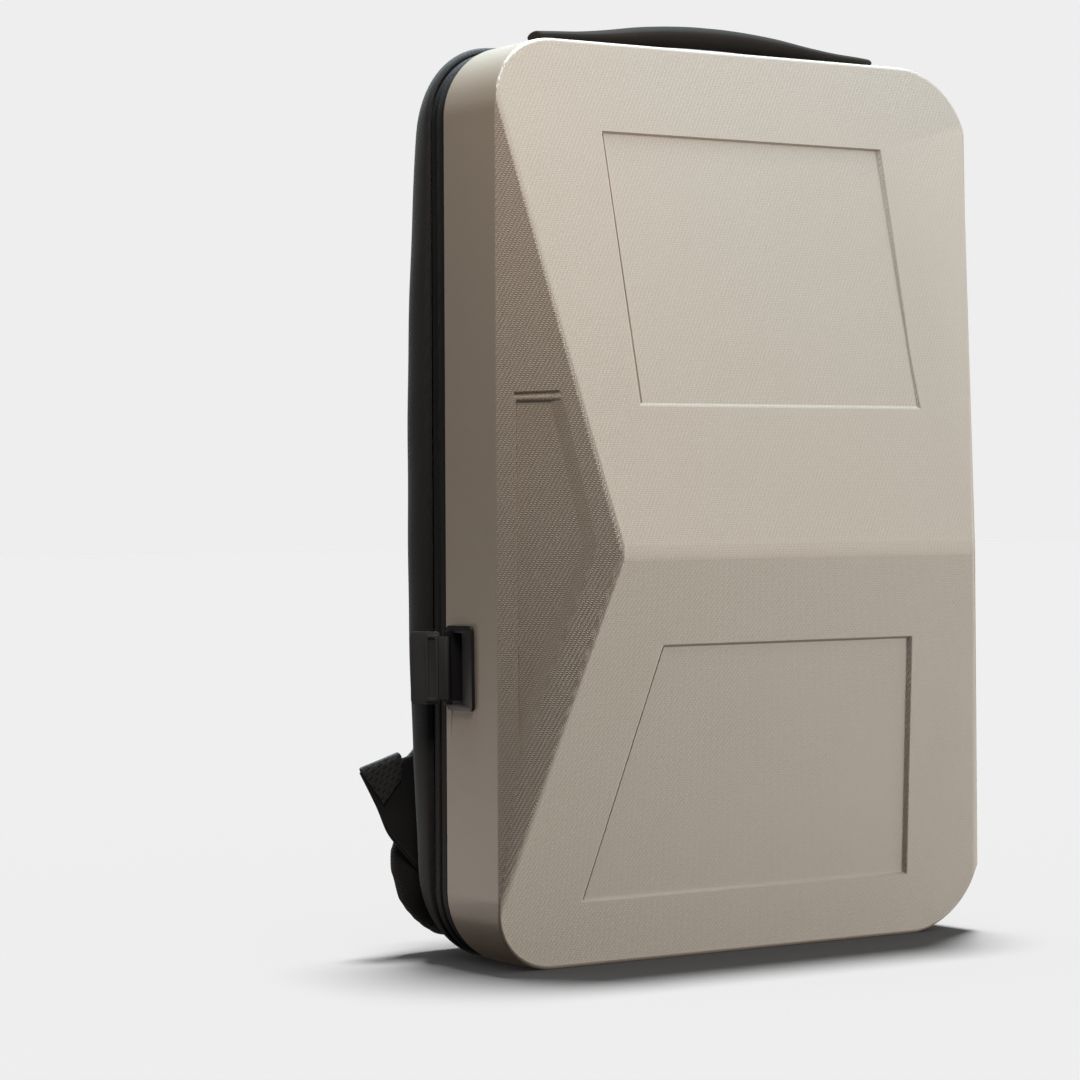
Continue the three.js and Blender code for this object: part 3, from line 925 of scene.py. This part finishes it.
def shoulder_strap():
    run = even_run(STRAP, STRAP_STEPS)
    for row in run:
        row[6] -= STRAP_TRIM
    profile = oval(STRAP_THICKNESS, STRAP_SIDES, STRAP_EDGE_POWER, STRAP_FACE_POWER)
    piece = band("strap_left", run, profile)
    round_by_angle(piece, STRAP_END_ROUND, 4, 60)
    smooth(piece, 60)
    return piece


def strap_binding():
    """Cloth tape sewn round the strap's edge."""
    run = even_run(STRAP, STRAP_STEPS)
    pieces = []
    for side in (-1, 1):
        edge = [(row[0] + side * (row[6] / 2 - BINDING_INSET), row[1], row[2]) for row in run]
        pieces.append(tube("binding", edge, BINDING_RADIUS))
    piece = join(pieces)
    piece.name = "strap_binding_left"
    return piece


def adjuster():
    """Slotted buckle at the strap's lower end."""
    piece = block("buckle_left", place(*BUCKLE_LOW), place(*BUCKLE_HIGH))
    round_corners(piece, BUCKLE_CORNER, Y_AXIS, 4)
    for z in BUCKLE_SLOTS_Z:
        rise = Vector((0, 0, z * MM))
        cutter = block("cutter", place(*BUCKLE_SLOT_LOW) + rise, place(*BUCKLE_SLOT_HIGH) + rise)
        round_corners(cutter, BUCKLE_SLOT_CORNER, Y_AXIS, 3)
        carve(piece, cutter)
    round_by_angle(piece, BUCKLE_ROUND, 3, 40)
    smooth(piece, 30)
    return piece


# Lower strap of the left side: a cloth wing in the seam, with webbing folded over its top edge

# Columns: seam x, y, z, tip x, y, z
WING = [
    (-137.5, 90.1, 44, -143.5, 90.9, 46),
    (-137.6, 90.1, 57, -152.8, 92.8, 57),
    (-137.7, 90.1, 66, -158.5, 94.4, 65),
    (-138, 90.1, 80, -162.8, 97, 77.7),
    (-138.5, 90.1, 105.5, -171.3, 99, 95.3),
]
WING_STEPS = 24
WING_ACROSS = 12
WING_THICKNESS = 1.6
HEM_INSET = 0.8
HEM_RADIUS = 1.3
WEB = 25
WEB_THICKNESS = 1.5
WEB_RIB = 0.12
WEB_STEPS = 140

# Columns: place x, y, z, way across x, y, z, width
WEBBING = [
    (-155.7, 94.0, 84.8, 0.574, -0.162, 0.804, 16),
    (-157.2, 94.2, 90.0, 0.72, -0.2, 0.66, 18),
    (-160.6, 95.2, 98.6, 0.9, -0.244, 0.36, 22),
    (-161.3, 96.6, 100.4, 0.904, -0.244, 0.352, 22),
    (-160.2, 98.4, 99.4, 0.9, -0.24, 0.36, 22),
    (-156.0, 101.6, 94.0, 0.72, -0.2, 0.66, 22),
    (-149.0, 106.5, 88.6, 0.3, -0.05, 0.95, WEB),
    (-138.0, 111.5, 87.0, 0, 0.05, 1, WEB),
    (-122.0, 115.5, 95.0, -0.5, 0.1, 0.86, WEB),
    (-106.0, 117.8, 117.0, -0.82, 0.05, 0.57, WEB),
    (-96.0, 118.1, 141.0, -0.93, 0, 0.36, WEB),
    (-91.6, 118.1, 159.0, -0.98, 0, 0.18, WEB),
    (-90.4, 118.1, 173.0, -1, 0, 0.1, WEB),
]


def wing():
    sections = [between(WING, i / WING_STEPS * (len(WING) - 1)) for i in range(WING_STEPS + 1)]
    rows = []
    for section in sections:
        seam, tip = Vector(section[:3]), Vector(section[3:])
        rows.append([place(*seam.lerp(tip, k / WING_ACROSS)) for k in range(WING_ACROSS + 1)])
    piece = skin("wing_left", rows, loop=False)
    thicken(piece, WING_THICKNESS, 0)
    subdivide(piece)
    smooth(piece, 50)
    hem = tube("hem", [Vector(section[3:]) + Vector((HEM_INSET, 0, 0)) for section in sections], HEM_RADIUS)
    return join([piece, hem])


def flat_profile(thickness, rib):
    """A webbing's section: flat faces with rounded selvedges."""
    h = thickness / 2
    selvedge = [(1, -h * 0.4), (1, h * 0.4)]
    face = [(0.97, h), (0.86, h + rib), (0, h), (-0.86, h + rib), (-0.97, h)]
    half = selvedge + face
    return half + [(-u, -v) for u, v in half]


def webbing():
    """Sewn down on a slant, folded over the wing's top edge and led behind it to the buckle."""
    piece = band("webbing_left", even_run(WEBBING, WEB_STEPS), flat_profile(WEB_THICKNESS, WEB_RIB))
    smooth(piece, 40)
    return piece


# Carrying handle

HANDLE_Y = 30

# Columns of its right half: x, underside, top, half-width
HANDLE = [
    (0, 464.3, 475.6, 9.6),
    (11, 464.3, 475.5, 9.6),
    (26, 463.9, 474.7, 9.8),
    (44, 462.8, 473.0, 10.1),
    (63, 461.5, 470.2, 10.4),
    (80, 460.7, 468.2, 10.4),
    (97, 460.4, 467.2, 9.4),
    (105.5, 460.4, 466.8, 6.6),
]
HANDLE_STEPS = 72
HANDLE_SIDES = 24
HANDLE_TUCK = 0.5
HANDLE_END_ROUND = 1.8
HANDLE_FRONT_POWER = 1.15
HANDLE_TOP_POWER = 0.9


def handle():
    """A grip with peaked front and back, narrower below, through the stations of both halves."""
    stations = [(-x, low, high, wide) for x, low, high, wide in reversed(HANDLE[1:])] + HANDLE
    rows = []
    for i in range(HANDLE_STEPS + 1):
        x, low, high, wide = between(stations, i / HANDLE_STEPS * (len(stations) - 1))
        centre, rise = (low + high) / 2, (high - low) / 2
        row = []
        for k in range(HANDLE_SIDES):
            angle = 2 * math.pi * k / HANDLE_SIDES
            c, s = math.cos(angle), math.sin(angle)
            under = 1 + HANDLE_TUCK * min(s, 0)
            y = HANDLE_Y + wide * under * powered(c, HANDLE_FRONT_POWER)
            row.append(place(x, y, centre + rise * powered(s, HANDLE_TOP_POWER)))
        rows.append(row)
    piece = skin("handle", rows, cap_first=True, cap_last=True)
    round_by_angle(piece, HANDLE_END_ROUND, 4, 50)
    smooth(piece, 60)
    return piece


# Charging port in the left wall

WALL_X = -half_width(PORT_Z)

# Blocks: reach out of the wall from and to, depth from and to, height about the port from and to
SHELL_HOLE = (-8, 8, 28.1, 42.3, -18.7, 18.7)
PORT_FRAME = (0.4, 2.1, 20.2, 43.8, -21, 21)
PORT_BODY = (-6, 1.9, 28.4, 42, -18.4, 18.4)
PORT_POCKET = (-4, 4, 29.6, 37.9, -17.2, 17.2)
POCKET_FLARE = (1, 1.25, 1.02)
SOCKET_HOLE = (-12, 0, 30.1, 37.4, -13.9, 1.3)
LUGS = ((1.0, 5.25, 39.45, 42.35, -18.2, -15.7), (1.0, 5.25, 39.45, 42.35, 15.7, 18.2))
FRAME_CORNER = 2.5
FRAME_ROUND = 0.45
POCKET_CORNER = 1.2
LUG_TIP = 3
LUG_ROUND = 1.3
COVER_PLATE = (2.4, 3.9, 22.4, 37.7, -18, 18)
COVER_NECK = (2.4, 3.9, 36.5, 40.9, -15.4, 15.4)
COVER_SEAL = (1.1, 3, 30.9, 37.3, -16.4, 16.4)
COVER_DENT = (0, 2.0, 32.2, 36.0, -15.0, 15.0)
COVER_CORNER = 2.2
COVER_ROUND = 0.4
SEAL_CORNER = 1.2
DENT_CORNER = 0.8
COVER_OPEN = 140
HINGE_OUT = 3.8
HINGE_Y = 40.9
BARREL_RADIUS = 1.45
BARREL_LENGTH = 30.8
BARREL_SIDES = 24


def port_block(name, out0, out1, y0, y1, z0, z1):
    """A block by its reach out of the left wall, its depth and its height about the port."""
    return block(name, place(WALL_X - out1, y0, PORT_Z + z0), place(WALL_X - out0, y1, PORT_Z + z1))


def port_bezel():
    piece = port_block("port_frame", *PORT_FRAME)
    round_corners(piece, FRAME_CORNER, X_AXIS, 4)
    carve(piece, port_block("body", *PORT_BODY), "UNION")
    for extent in LUGS:
        lug = port_block("lug", *extent)
        edit(lug)
        pick(lug, lambda e: along(e, Z_AXIS) and middle(e).x < place(WALL_X - LUG_TIP, 0, 0).x)
        bevel(LUG_ROUND, 4)
        done()
        carve(piece, lug, "UNION")
    pocket = port_block("pocket", *PORT_POCKET)
    edit(pocket, "FACE")
    pick(pocket, lambda f: f.normal.x < -0.9, "faces")
    bpy.ops.transform.resize(value=POCKET_FLARE)
    done()
    round_corners(pocket, POCKET_CORNER, X_AXIS, 4)
    carve(piece, pocket)
    carve(piece, port_block("hole", *SOCKET_HOLE))
    round_by_angle(piece, FRAME_ROUND, 3, 40)
    smooth(piece, 35)
    return piece


def port_lid():
    """The lid, modelled shut and then turned open about its hinge."""
    hinge = place(WALL_X - HINGE_OUT, HINGE_Y, PORT_Z)
    piece = port_block("port_cover", *COVER_PLATE)
    round_corners(piece, COVER_CORNER, X_AXIS, 4)
    carve(piece, port_block("neck", *COVER_NECK), "UNION")
    seal = port_block("seal", *COVER_SEAL)
    round_corners(seal, SEAL_CORNER, X_AXIS, 4)
    carve(piece, seal, "UNION")
    dent = port_block("dent", *COVER_DENT)
    round_corners(dent, DENT_CORNER, X_AXIS, 4)
    carve(piece, dent)
    deselect()
    bpy.ops.mesh.primitive_cylinder_add(
        vertices=BARREL_SIDES, radius=BARREL_RADIUS * MM, depth=BARREL_LENGTH * MM, location=hinge
    )
    barrel = bpy.context.object
    bpy.ops.object.transform_apply(location=True, rotation=True, scale=True)
    carve(piece, barrel, "UNION")
    round_by_angle(piece, COVER_ROUND, 3, 40)
    turn = Matrix.Rotation(math.radians(-COVER_OPEN), 4, "Z")
    piece.data.transform(Matrix.Translation(hinge) @ turn @ Matrix.Translation(-hinge))
    smooth(piece, 35)
    return piece


# Finishes

def new_group(name, inputs, outputs):
    """A node group with sockets (label, kind, value) going in and (label, kind) coming out."""
    tree = bpy.data.node_groups.new(name, "ShaderNodeTree")
    for label, kind, value in inputs:
        socket = tree.interface.new_socket(label, in_out="INPUT", socket_type=kind)
        if value is not None:
            socket.default_value = value
    for label, kind in outputs:
        tree.interface.new_socket(label, in_out="OUTPUT", socket_type=kind)
    return tree, tree.nodes.new("NodeGroupInput"), tree.nodes.new("NodeGroupOutput")


def feed(tree, socket, value):
    """Links a socket to another one, or sets its value."""
    if isinstance(value, bpy.types.NodeSocket):
        tree.links.new(value, socket)
    else:
        socket.default_value = value


def calc(tree, operation, *values):
    node = tree.nodes.new("ShaderNodeMath")
    node.operation = operation
    for socket, value in zip(node.inputs, values):
        feed(tree, socket, value)
    return node.outputs[0]


THREAD_STRETCH = 1.7
THREAD_LIFT = 0.35


def weave_group():
    """Twill of round threads: each thread goes over two and under two."""
    tree, given, out = new_group(
        "twill",
        [("Vector", "NodeSocketVector", None), ("Pitch", "NodeSocketFloat", 0.001)],
        [("Height", "NodeSocketFloat"), ("Over", "NodeSocketFloat")],
    )
    split = tree.nodes.new("ShaderNodeSeparateXYZ")
    tree.links.new(given.outputs["Vector"], split.inputs[0])
    u = calc(tree, "DIVIDE", split.outputs["X"], given.outputs["Pitch"])
    long_pitch = calc(tree, "MULTIPLY", given.outputs["Pitch"], THREAD_STRETCH)
    v = calc(tree, "DIVIDE", split.outputs["Y"], long_pitch)
    lag = calc(tree, "SUBTRACT", calc(tree, "FLOOR", u), calc(tree, "FLOOR", v))
    over = calc(tree, "LESS_THAN", calc(tree, "FLOORED_MODULO", lag, 4.0), 1.5)
    rounds = []
    for coordinate in (u, v):
        off = calc(tree, "SUBTRACT", calc(tree, "FRACT", coordinate), 0.5)
        rounds.append(calc(tree, "MULTIPLY_ADD", calc(tree, "MULTIPLY", off, off), -4.0, 1.0))
    lift = calc(tree, "SUBTRACT", rounds[0], rounds[1])
    height = calc(tree, "MULTIPLY_ADD", over, lift, rounds[1])
    tree.links.new(calc(tree, "MULTIPLY_ADD", over, THREAD_LIFT, height), out.inputs["Height"])
    tree.links.new(over, out.inputs["Over"])
    return tree


def mottle_group():
    """Slow uneven tone, around one half."""
    tree, given, out = new_group(
        "mottle",
        [("Vector", "NodeSocketVector", None), ("Size", "NodeSocketFloat", 0.05)],
        [("Tone", "NodeSocketFloat")],
    )
    noise = tree.nodes.new("ShaderNodeTexNoise")
    noise.inputs["Detail"].default_value = 4
    tree.links.new(given.outputs["Vector"], noise.inputs["Vector"])
    tree.links.new(calc(tree, "DIVIDE", 1.0, given.outputs["Size"]), noise.inputs["Scale"])
    tree.links.new(noise.outputs["Fac"], out.inputs["Tone"])
    return tree


def air_mesh_group():
    """Knitted spacer mesh with rows of small holes."""
    tree, given, out = new_group(
        "air_mesh",
        [("Vector", "NodeSocketVector", None), ("Pitch", "NodeSocketFloat", 0.003)],
        [("Height", "NodeSocketFloat"), ("Hole", "NodeSocketFloat")],
    )
    cells = tree.nodes.new("ShaderNodeTexVoronoi")
    cells.voronoi_dimensions = "2D"
    cells.inputs["Randomness"].default_value = 0.12
    tree.links.new(given.outputs["Vector"], cells.inputs["Vector"])
    tree.links.new(calc(tree, "DIVIDE", 1.0, given.outputs["Pitch"]), cells.inputs["Scale"])
    rim = tree.nodes.new("ShaderNodeMapRange")
    rim.interpolation_type = "SMOOTHSTEP"
    rim.inputs["From Min"].default_value = 0.2
    rim.inputs["From Max"].default_value = 0.42
    tree.links.new(cells.outputs["Distance"], rim.inputs["Value"])
    tree.links.new(rim.outputs["Result"], out.inputs["Height"])
    tree.links.new(calc(tree, "SUBTRACT", 1.0, rim.outputs["Result"]), out.inputs["Hole"])
    return tree


TWILL = weave_group()
MOTTLE = mottle_group()
AIR_MESH = air_mesh_group()


class Finish:
    """A material with its node tree and its shader."""

    def __init__(self, name, roughness, metallic=0.0, **sockets):
        self.material = bpy.data.materials.new(name)
        self.material.use_nodes = True
        self.tree = self.material.node_tree
        self.shader = self.tree.nodes["Principled BSDF"]
        self.shader.inputs["Roughness"].default_value = roughness
        self.shader.inputs["Metallic"].default_value = metallic
        for label, value in sockets.items():
            self.shader.inputs[label.replace("_", " ")].default_value = value

    def place_pattern(self, turn=(0, 0, 0)):
        """Object coordinates turned to suit the piece, in degrees."""
        coordinates = self.tree.nodes.new("ShaderNodeTexCoord")
        mapping = self.tree.nodes.new("ShaderNodeMapping")
        mapping.inputs["Rotation"].default_value = [math.radians(a) for a in turn]
        self.tree.links.new(coordinates.outputs["Object"], mapping.inputs["Vector"])
        return mapping.outputs["Vector"]

    def film_map(self):
        """The film's own map, laid flat on every face."""
        node = self.tree.nodes.new("ShaderNodeUVMap")
        node.uv_map = "weave"
        return node.outputs["UV"]

    def use(self, group, vector, **values):
        """Puts a node group to work and gives back its outputs."""
        node = self.tree.nodes.new("ShaderNodeGroup")
        node.node_tree = group
        self.tree.links.new(vector, node.inputs["Vector"])
        for label, value in values.items():
            node.inputs[label].default_value = value
        return node.outputs

    def mix(self, share, first, second):
        """A colour between two others."""
        node = self.tree.nodes.new("ShaderNodeMix")
        node.data_type = "RGBA"
        feed(self.tree, node.inputs["Factor"], share)
        feed(self.tree, node.inputs["A"], first)
        feed(self.tree, node.inputs["B"], second)
        return node.outputs["Result"]

    def colour(self, value):
        feed(self.tree, self.shader.inputs["Base Color"], value)

    def rough(self, share, low, high):
        """Roughness between two values."""
        node = self.tree.nodes.new("ShaderNodeMapRange")
        feed(self.tree, node.inputs["Value"], share)
        node.inputs["To Min"].default_value = low
        node.inputs["To Max"].default_value = high
        feed(self.tree, self.shader.inputs["Roughness"], node.outputs["Result"])

    def bump(self, height, strength, distance):
        """Relief of a height in millimetres."""
        node = self.tree.nodes.new("ShaderNodeBump")
        node.inputs["Strength"].default_value = strength
        node.inputs["Distance"].default_value = distance * MM
        feed(self.tree, node.inputs["Height"], height)
        feed(self.tree, self.shader.inputs["Normal"], node.outputs["Normal"])


def rgb(r, g, b):
    return (r, g, b, 1)


def cool(grey):
    """A grey with a slight blue cast."""
    return rgb(grey, grey, grey * BLUE_CAST)


FILM_BETWEEN = rgb(0.39, 0.325, 0.255)
FILM_DULL = rgb(0.385, 0.32, 0.252)
FILM_BRIGHT = rgb(0.42, 0.35, 0.277)
FRONT_RELIEF = 0.2
SIDE_RELIEF = 0.6
BLUE_CAST = 1.05
CLOTH_TURN = (20, 35, 10)
WEBBING_TURN = (70, 20, 40)
MESH_TURN = (90, 0, 45)
GRAIN_DARK = 0.8
GRAIN_PALE = 1.25


def champagne_film():
    """Satin film with a fine twill, which stands out more on the side facets than elsewhere."""
    made = Finish("champagne_film", 0.45, IOR=2.3)
    where = made.film_map()
    twill = made.use(TWILL, where, Pitch=0.55 * MM)
    tone = made.use(MOTTLE, made.place_pattern(), Size=0.06)["Tone"]
    worn = made.mix(tone, FILM_DULL, FILM_BRIGHT)
    made.colour(made.mix(twill["Over"], FILM_BETWEEN, worn))
    made.rough(tone, 0.42, 0.48)
    split = made.tree.nodes.new("ShaderNodeSeparateXYZ")
    made.tree.links.new(where, split.inputs[0])
    side = calc(made.tree, "GREATER_THAN", split.outputs["X"], SIDE_FILM_SHIFT / 2)
    share = calc(made.tree, "MULTIPLY_ADD", side, SIDE_RELIEF, FRONT_RELIEF)
    made.bump(calc(made.tree, "MULTIPLY", twill["Height"], share), 1.0, 0.2)
    return made.material


def black_weave(name, pitch, dark, pale, roughness, bump, turn, sheen=0.15):
    """Woven black cloth with threads of a pitch in millimetres, between a dark and a pale grey."""
    made = Finish(name, roughness, Sheen_Weight=sheen, Sheen_Roughness=0.5, Specular_IOR_Level=0.35)
    where = made.place_pattern(turn)
    twill = made.use(TWILL, where, Pitch=pitch * MM)
    tone = made.use(MOTTLE, where, Size=0.03)["Tone"]
    threads = made.mix(twill["Over"], cool(dark), cool(pale))
    made.colour(made.mix(tone, cool(dark), threads))
    made.rough(tone, roughness - 0.08, roughness + 0.08)
    made.bump(twill["Height"], bump, pitch * 0.3)
    return made.material


def spacer_mesh():
    """Padded black mesh, with painted shade in its holes."""
    made = Finish("spacer_mesh", 0.85, Sheen_Weight=0.2, Sheen_Roughness=0.5, Specular_IOR_Level=0.3)
    where = made.place_pattern(MESH_TURN)
    holes = made.use(AIR_MESH, where, Pitch=1.2 * MM)
    tone = made.use(MOTTLE, where, Size=0.04)["Tone"]
    knit = made.mix(tone, rgb(0.017, 0.017, 0.018), rgb(0.03, 0.03, 0.032))
    # The holes are painted near black: painted shade inside them.
    made.colour(made.mix(holes["Hole"], knit, rgb(0.004, 0.004, 0.004)))
    made.bump(holes["Height"], 0.6, 0.6)
    return made.material


def grained(name, colour, roughness, size, bump, **sockets):
    """Moulded plastic, rubber or metal with a fine grain of a size in millimetres."""
    made = Finish(name, roughness, **sockets)
    where = made.place_pattern()
    grain = made.use(MOTTLE, where, Size=size * MM)["Tone"]
    tone = made.use(MOTTLE, where, Size=0.02)["Tone"]
    dark = rgb(*(c * GRAIN_DARK for c in colour))
    pale = rgb(*(c * GRAIN_PALE for c in colour))
    made.colour(made.mix(tone, dark, pale))
    made.rough(tone, roughness - 0.06, roughness + 0.06)
    made.bump(grain, bump, size * 0.2)
    return made.material


# Woven: pitch, dark and pale tone, roughness, relief, turn. Grained: colour, roughness, size, relief
FINISHES = {
    "shell": champagne_film(),
    "black_cloth": black_weave("black_cloth", 0.5, 0.01, 0.017, 0.7, 0.5, CLOTH_TURN),
    "zip_tape": black_weave("zip_tape", 0.6, 0.003, 0.005, 0.6, 0.4, CLOTH_TURN, 0.02),
    "webbing": black_weave("webbing", 1.1, 0.026, 0.05, 0.65, 0.7, WEBBING_TURN),
    "black_mesh": spacer_mesh(),
    "handle_grip": grained("handle_grip", (0.031, 0.028, 0.0265), 0.8, 0.7, 0.3, Specular_IOR_Level=0.05),
    "black_plastic": grained("black_plastic", (0.015, 0.015, 0.016), 0.35, 0.4, 0.15),
    "lid_rubber": grained("lid_rubber", (0.048, 0.048, 0.05), 0.5, 0.5, 0.2),
    "socket_metal": grained("socket_metal", (0.55, 0.55, 0.56), 0.3, 0.3, 0.05, metallic=1.0),
}


# Stage

FLOOR_SIZE = 60
FLOOR_GREY = 0.1
FLOOR_GLOW = 0.006
FLOOR_BOUNCE = 0.01
PALE = 0.855
WORLD_LIGHT = 0.05
WHITE = (1, 1, 1)
SKY = (0.76, 0.92, 1)
WARM = (1, 0.89, 0.81)
SAND = (1, 0.95, 0.88)


def floor_paint():
    """Pale to the camera, and a weaker bounce for everything else."""
    paint = bpy.data.materials.new("pale_floor")
    paint.use_nodes = True
    tree = paint.node_tree
    tree.nodes.clear()
    seen = tree.nodes.new("ShaderNodeBsdfPrincipled")
    seen.inputs["Base Color"].default_value = rgb(FLOOR_GREY, FLOOR_GREY, FLOOR_GREY)
    seen.inputs["Roughness"].default_value = 1
    seen.inputs["Specular IOR Level"].default_value = 0
    seen.inputs["Emission Color"].default_value = rgb(1, 1, 1)
    seen.inputs["Emission Strength"].default_value = FLOOR_GLOW
    bounced = tree.nodes.new("ShaderNodeBsdfDiffuse")
    bounced.inputs["Color"].default_value = rgb(FLOOR_BOUNCE, FLOOR_BOUNCE, FLOOR_BOUNCE)
    path = tree.nodes.new("ShaderNodeLightPath")
    mix = tree.nodes.new("ShaderNodeMixShader")
    out = tree.nodes.new("ShaderNodeOutputMaterial")
    tree.links.new(path.outputs["Is Camera Ray"], mix.inputs["Fac"])
    tree.links.new(bounced.outputs[0], mix.inputs[1])
    tree.links.new(seen.outputs[0], mix.inputs[2])
    tree.links.new(mix.outputs[0], out.inputs["Surface"])
    return paint


def add_sun(name, energy, softness, turn, rise, colour=WHITE):
    """A soft light from a turn off the front and a rise over the floor, in degrees."""
    data = bpy.data.lights.new(name, "SUN")
    data.energy = energy
    data.angle = math.radians(softness)
    data.color = colour
    lamp = bpy.data.objects.new(name, data)
    scene.collection.objects.link(lamp)
    lamp.rotation_euler = direction(turn, rise).to_track_quat("Z", "Y").to_euler()
    return lamp


def add_panel(name, energy, size, at, aim, colour):
    """A square soft light, placed and aimed in metres."""
    data = bpy.data.lights.new(name, "AREA")
    data.energy = energy
    data.size = size
    data.color = colour
    lamp = bpy.data.objects.new(name, data)
    scene.collection.objects.link(lamp)
    lamp.location = at
    lamp.rotation_euler = (Vector(at) - Vector(aim)).to_track_quat("Z", "Y").to_euler()
    lamp.visible_camera = False
    return lamp


def add_floor():
    deselect()
    bpy.ops.mesh.primitive_plane_add(size=FLOOR_SIZE)
    floor = bpy.context.object
    floor.name = "floor"
    floor.data.materials.append(floor_paint())
    return floor


def add_world():
    """A pale backdrop to the camera, and a weak light for everything else."""
    world = bpy.data.worlds.new("studio")
    world.use_nodes = True
    tree = world.node_tree
    light = tree.nodes["Background"]
    light.inputs["Color"].default_value = rgb(1, 1, 1)
    light.inputs["Strength"].default_value = WORLD_LIGHT
    seen = tree.nodes.new("ShaderNodeBackground")
    seen.inputs["Color"].default_value = rgb(PALE, PALE, PALE)
    path = tree.nodes.new("ShaderNodeLightPath")
    mix = tree.nodes.new("ShaderNodeMixShader")
    tree.links.new(path.outputs["Is Camera Ray"], mix.inputs["Fac"])
    tree.links.new(light.outputs[0], mix.inputs[1])
    tree.links.new(seen.outputs[0], mix.inputs[2])
    tree.links.new(mix.outputs[0], tree.nodes["World Output"].inputs["Surface"])
    scene.world = world


def add_lamps(floor):
    """Lamps for the floor alone, and lamps for the bag that the floor neither takes nor blocks."""
    lamps = (
        (add_sun("floor_light", 23.9, 16, 125, 83), "INCLUDE"),
        (add_sun("floor_dome", 3, 150, 0, 90), "INCLUDE"),
        (add_sun("top", 8.5, 50, 134, 73, SKY), "EXCLUDE"),
        (add_sun("right_low", 2.3, 60, 60, -7, SAND), "EXCLUDE"),
        (add_panel("right_top", 4.5, 0.5, (0.8, -0.5, 1.15), (0, -0.05, 0.3), SKY), "EXCLUDE"),
        (add_panel("left_top", 3.1, 0.3, (-0.43, -0.42, 0.78), (-0.15, -0.05, 0.42), WARM), "EXCLUDE"),
        (add_panel("left_floor", 0.19, 0.2, (-0.38, 0.25, 0), (-0.16, 0.02, 0.06), WARM), "EXCLUDE"),
    )
    for lamp, state in lamps:
        chosen = bpy.data.collections.new(lamp.name + "_floor")
        chosen.objects.link(floor)
        chosen.collection_objects[0].light_linking.link_state = state
        lamp.light_linking.receiver_collection = chosen
        if state == "EXCLUDE":
            lamp.light_linking.blocker_collection = chosen


def dress(piece, slot, *nodes, body="bag"):
    """Hangs a piece on its body, hides the solids it stands for and gives it its finish."""
    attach(piece, body)
    if nodes:
        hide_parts(*nodes)
    piece.data.materials.clear()
    piece.data.materials.append(FINISHES[slot])


# The whole bag

SHOWN_SOLIDS = {"usb_socket": "socket_metal", "usb_tongue": "black_plastic", "hinge_pin": "socket_metal"}

scene.view_settings.view_transform = "Standard"
add_camera()
add_lamps(add_floor())
add_world()
dress(front_shell(), "shell", "front_shell")
dress(zip_band(), "zip_tape", "zip_band")
dress(back_tray(), "black_cloth", "back_tray")
dress(back_piping(), "black_cloth")
for cushion, node, fill in ((lumbar_pad(), "lumbar_pad", 0.7), (back_pad(), "back_pad", 0.6)):
    dress(cushion, "black_mesh", node)
sides = (
    (shoulder_strap(), "black_mesh", "shoulder_strap"),
    (strap_binding(), "black_cloth", None),
    (adjuster(), "black_plastic", "strap_adjuster"),
    (webbing(), "webbing", "strap_webbing"),
    (wing(), "black_cloth", "strap_wing"),
)
for left, slot, node in sides:
    right = mirrored(left, left.name.replace("_left", "_right"))
    dress(left, slot, *([node + "_left"] if node else []))
    dress(right, slot, *([node + "_right"] if node else []))
dress(handle(), "handle_grip", "top_handle")
dress(port_bezel(), "black_plastic", "port_bezel")
dress(port_lid(), "lid_rubber", "port_lid", body="lid")
for node, slot in SHOWN_SOLIDS.items():
    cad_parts[node].data.materials.clear()
    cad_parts[node].data.materials.append(FINISHES[slot])
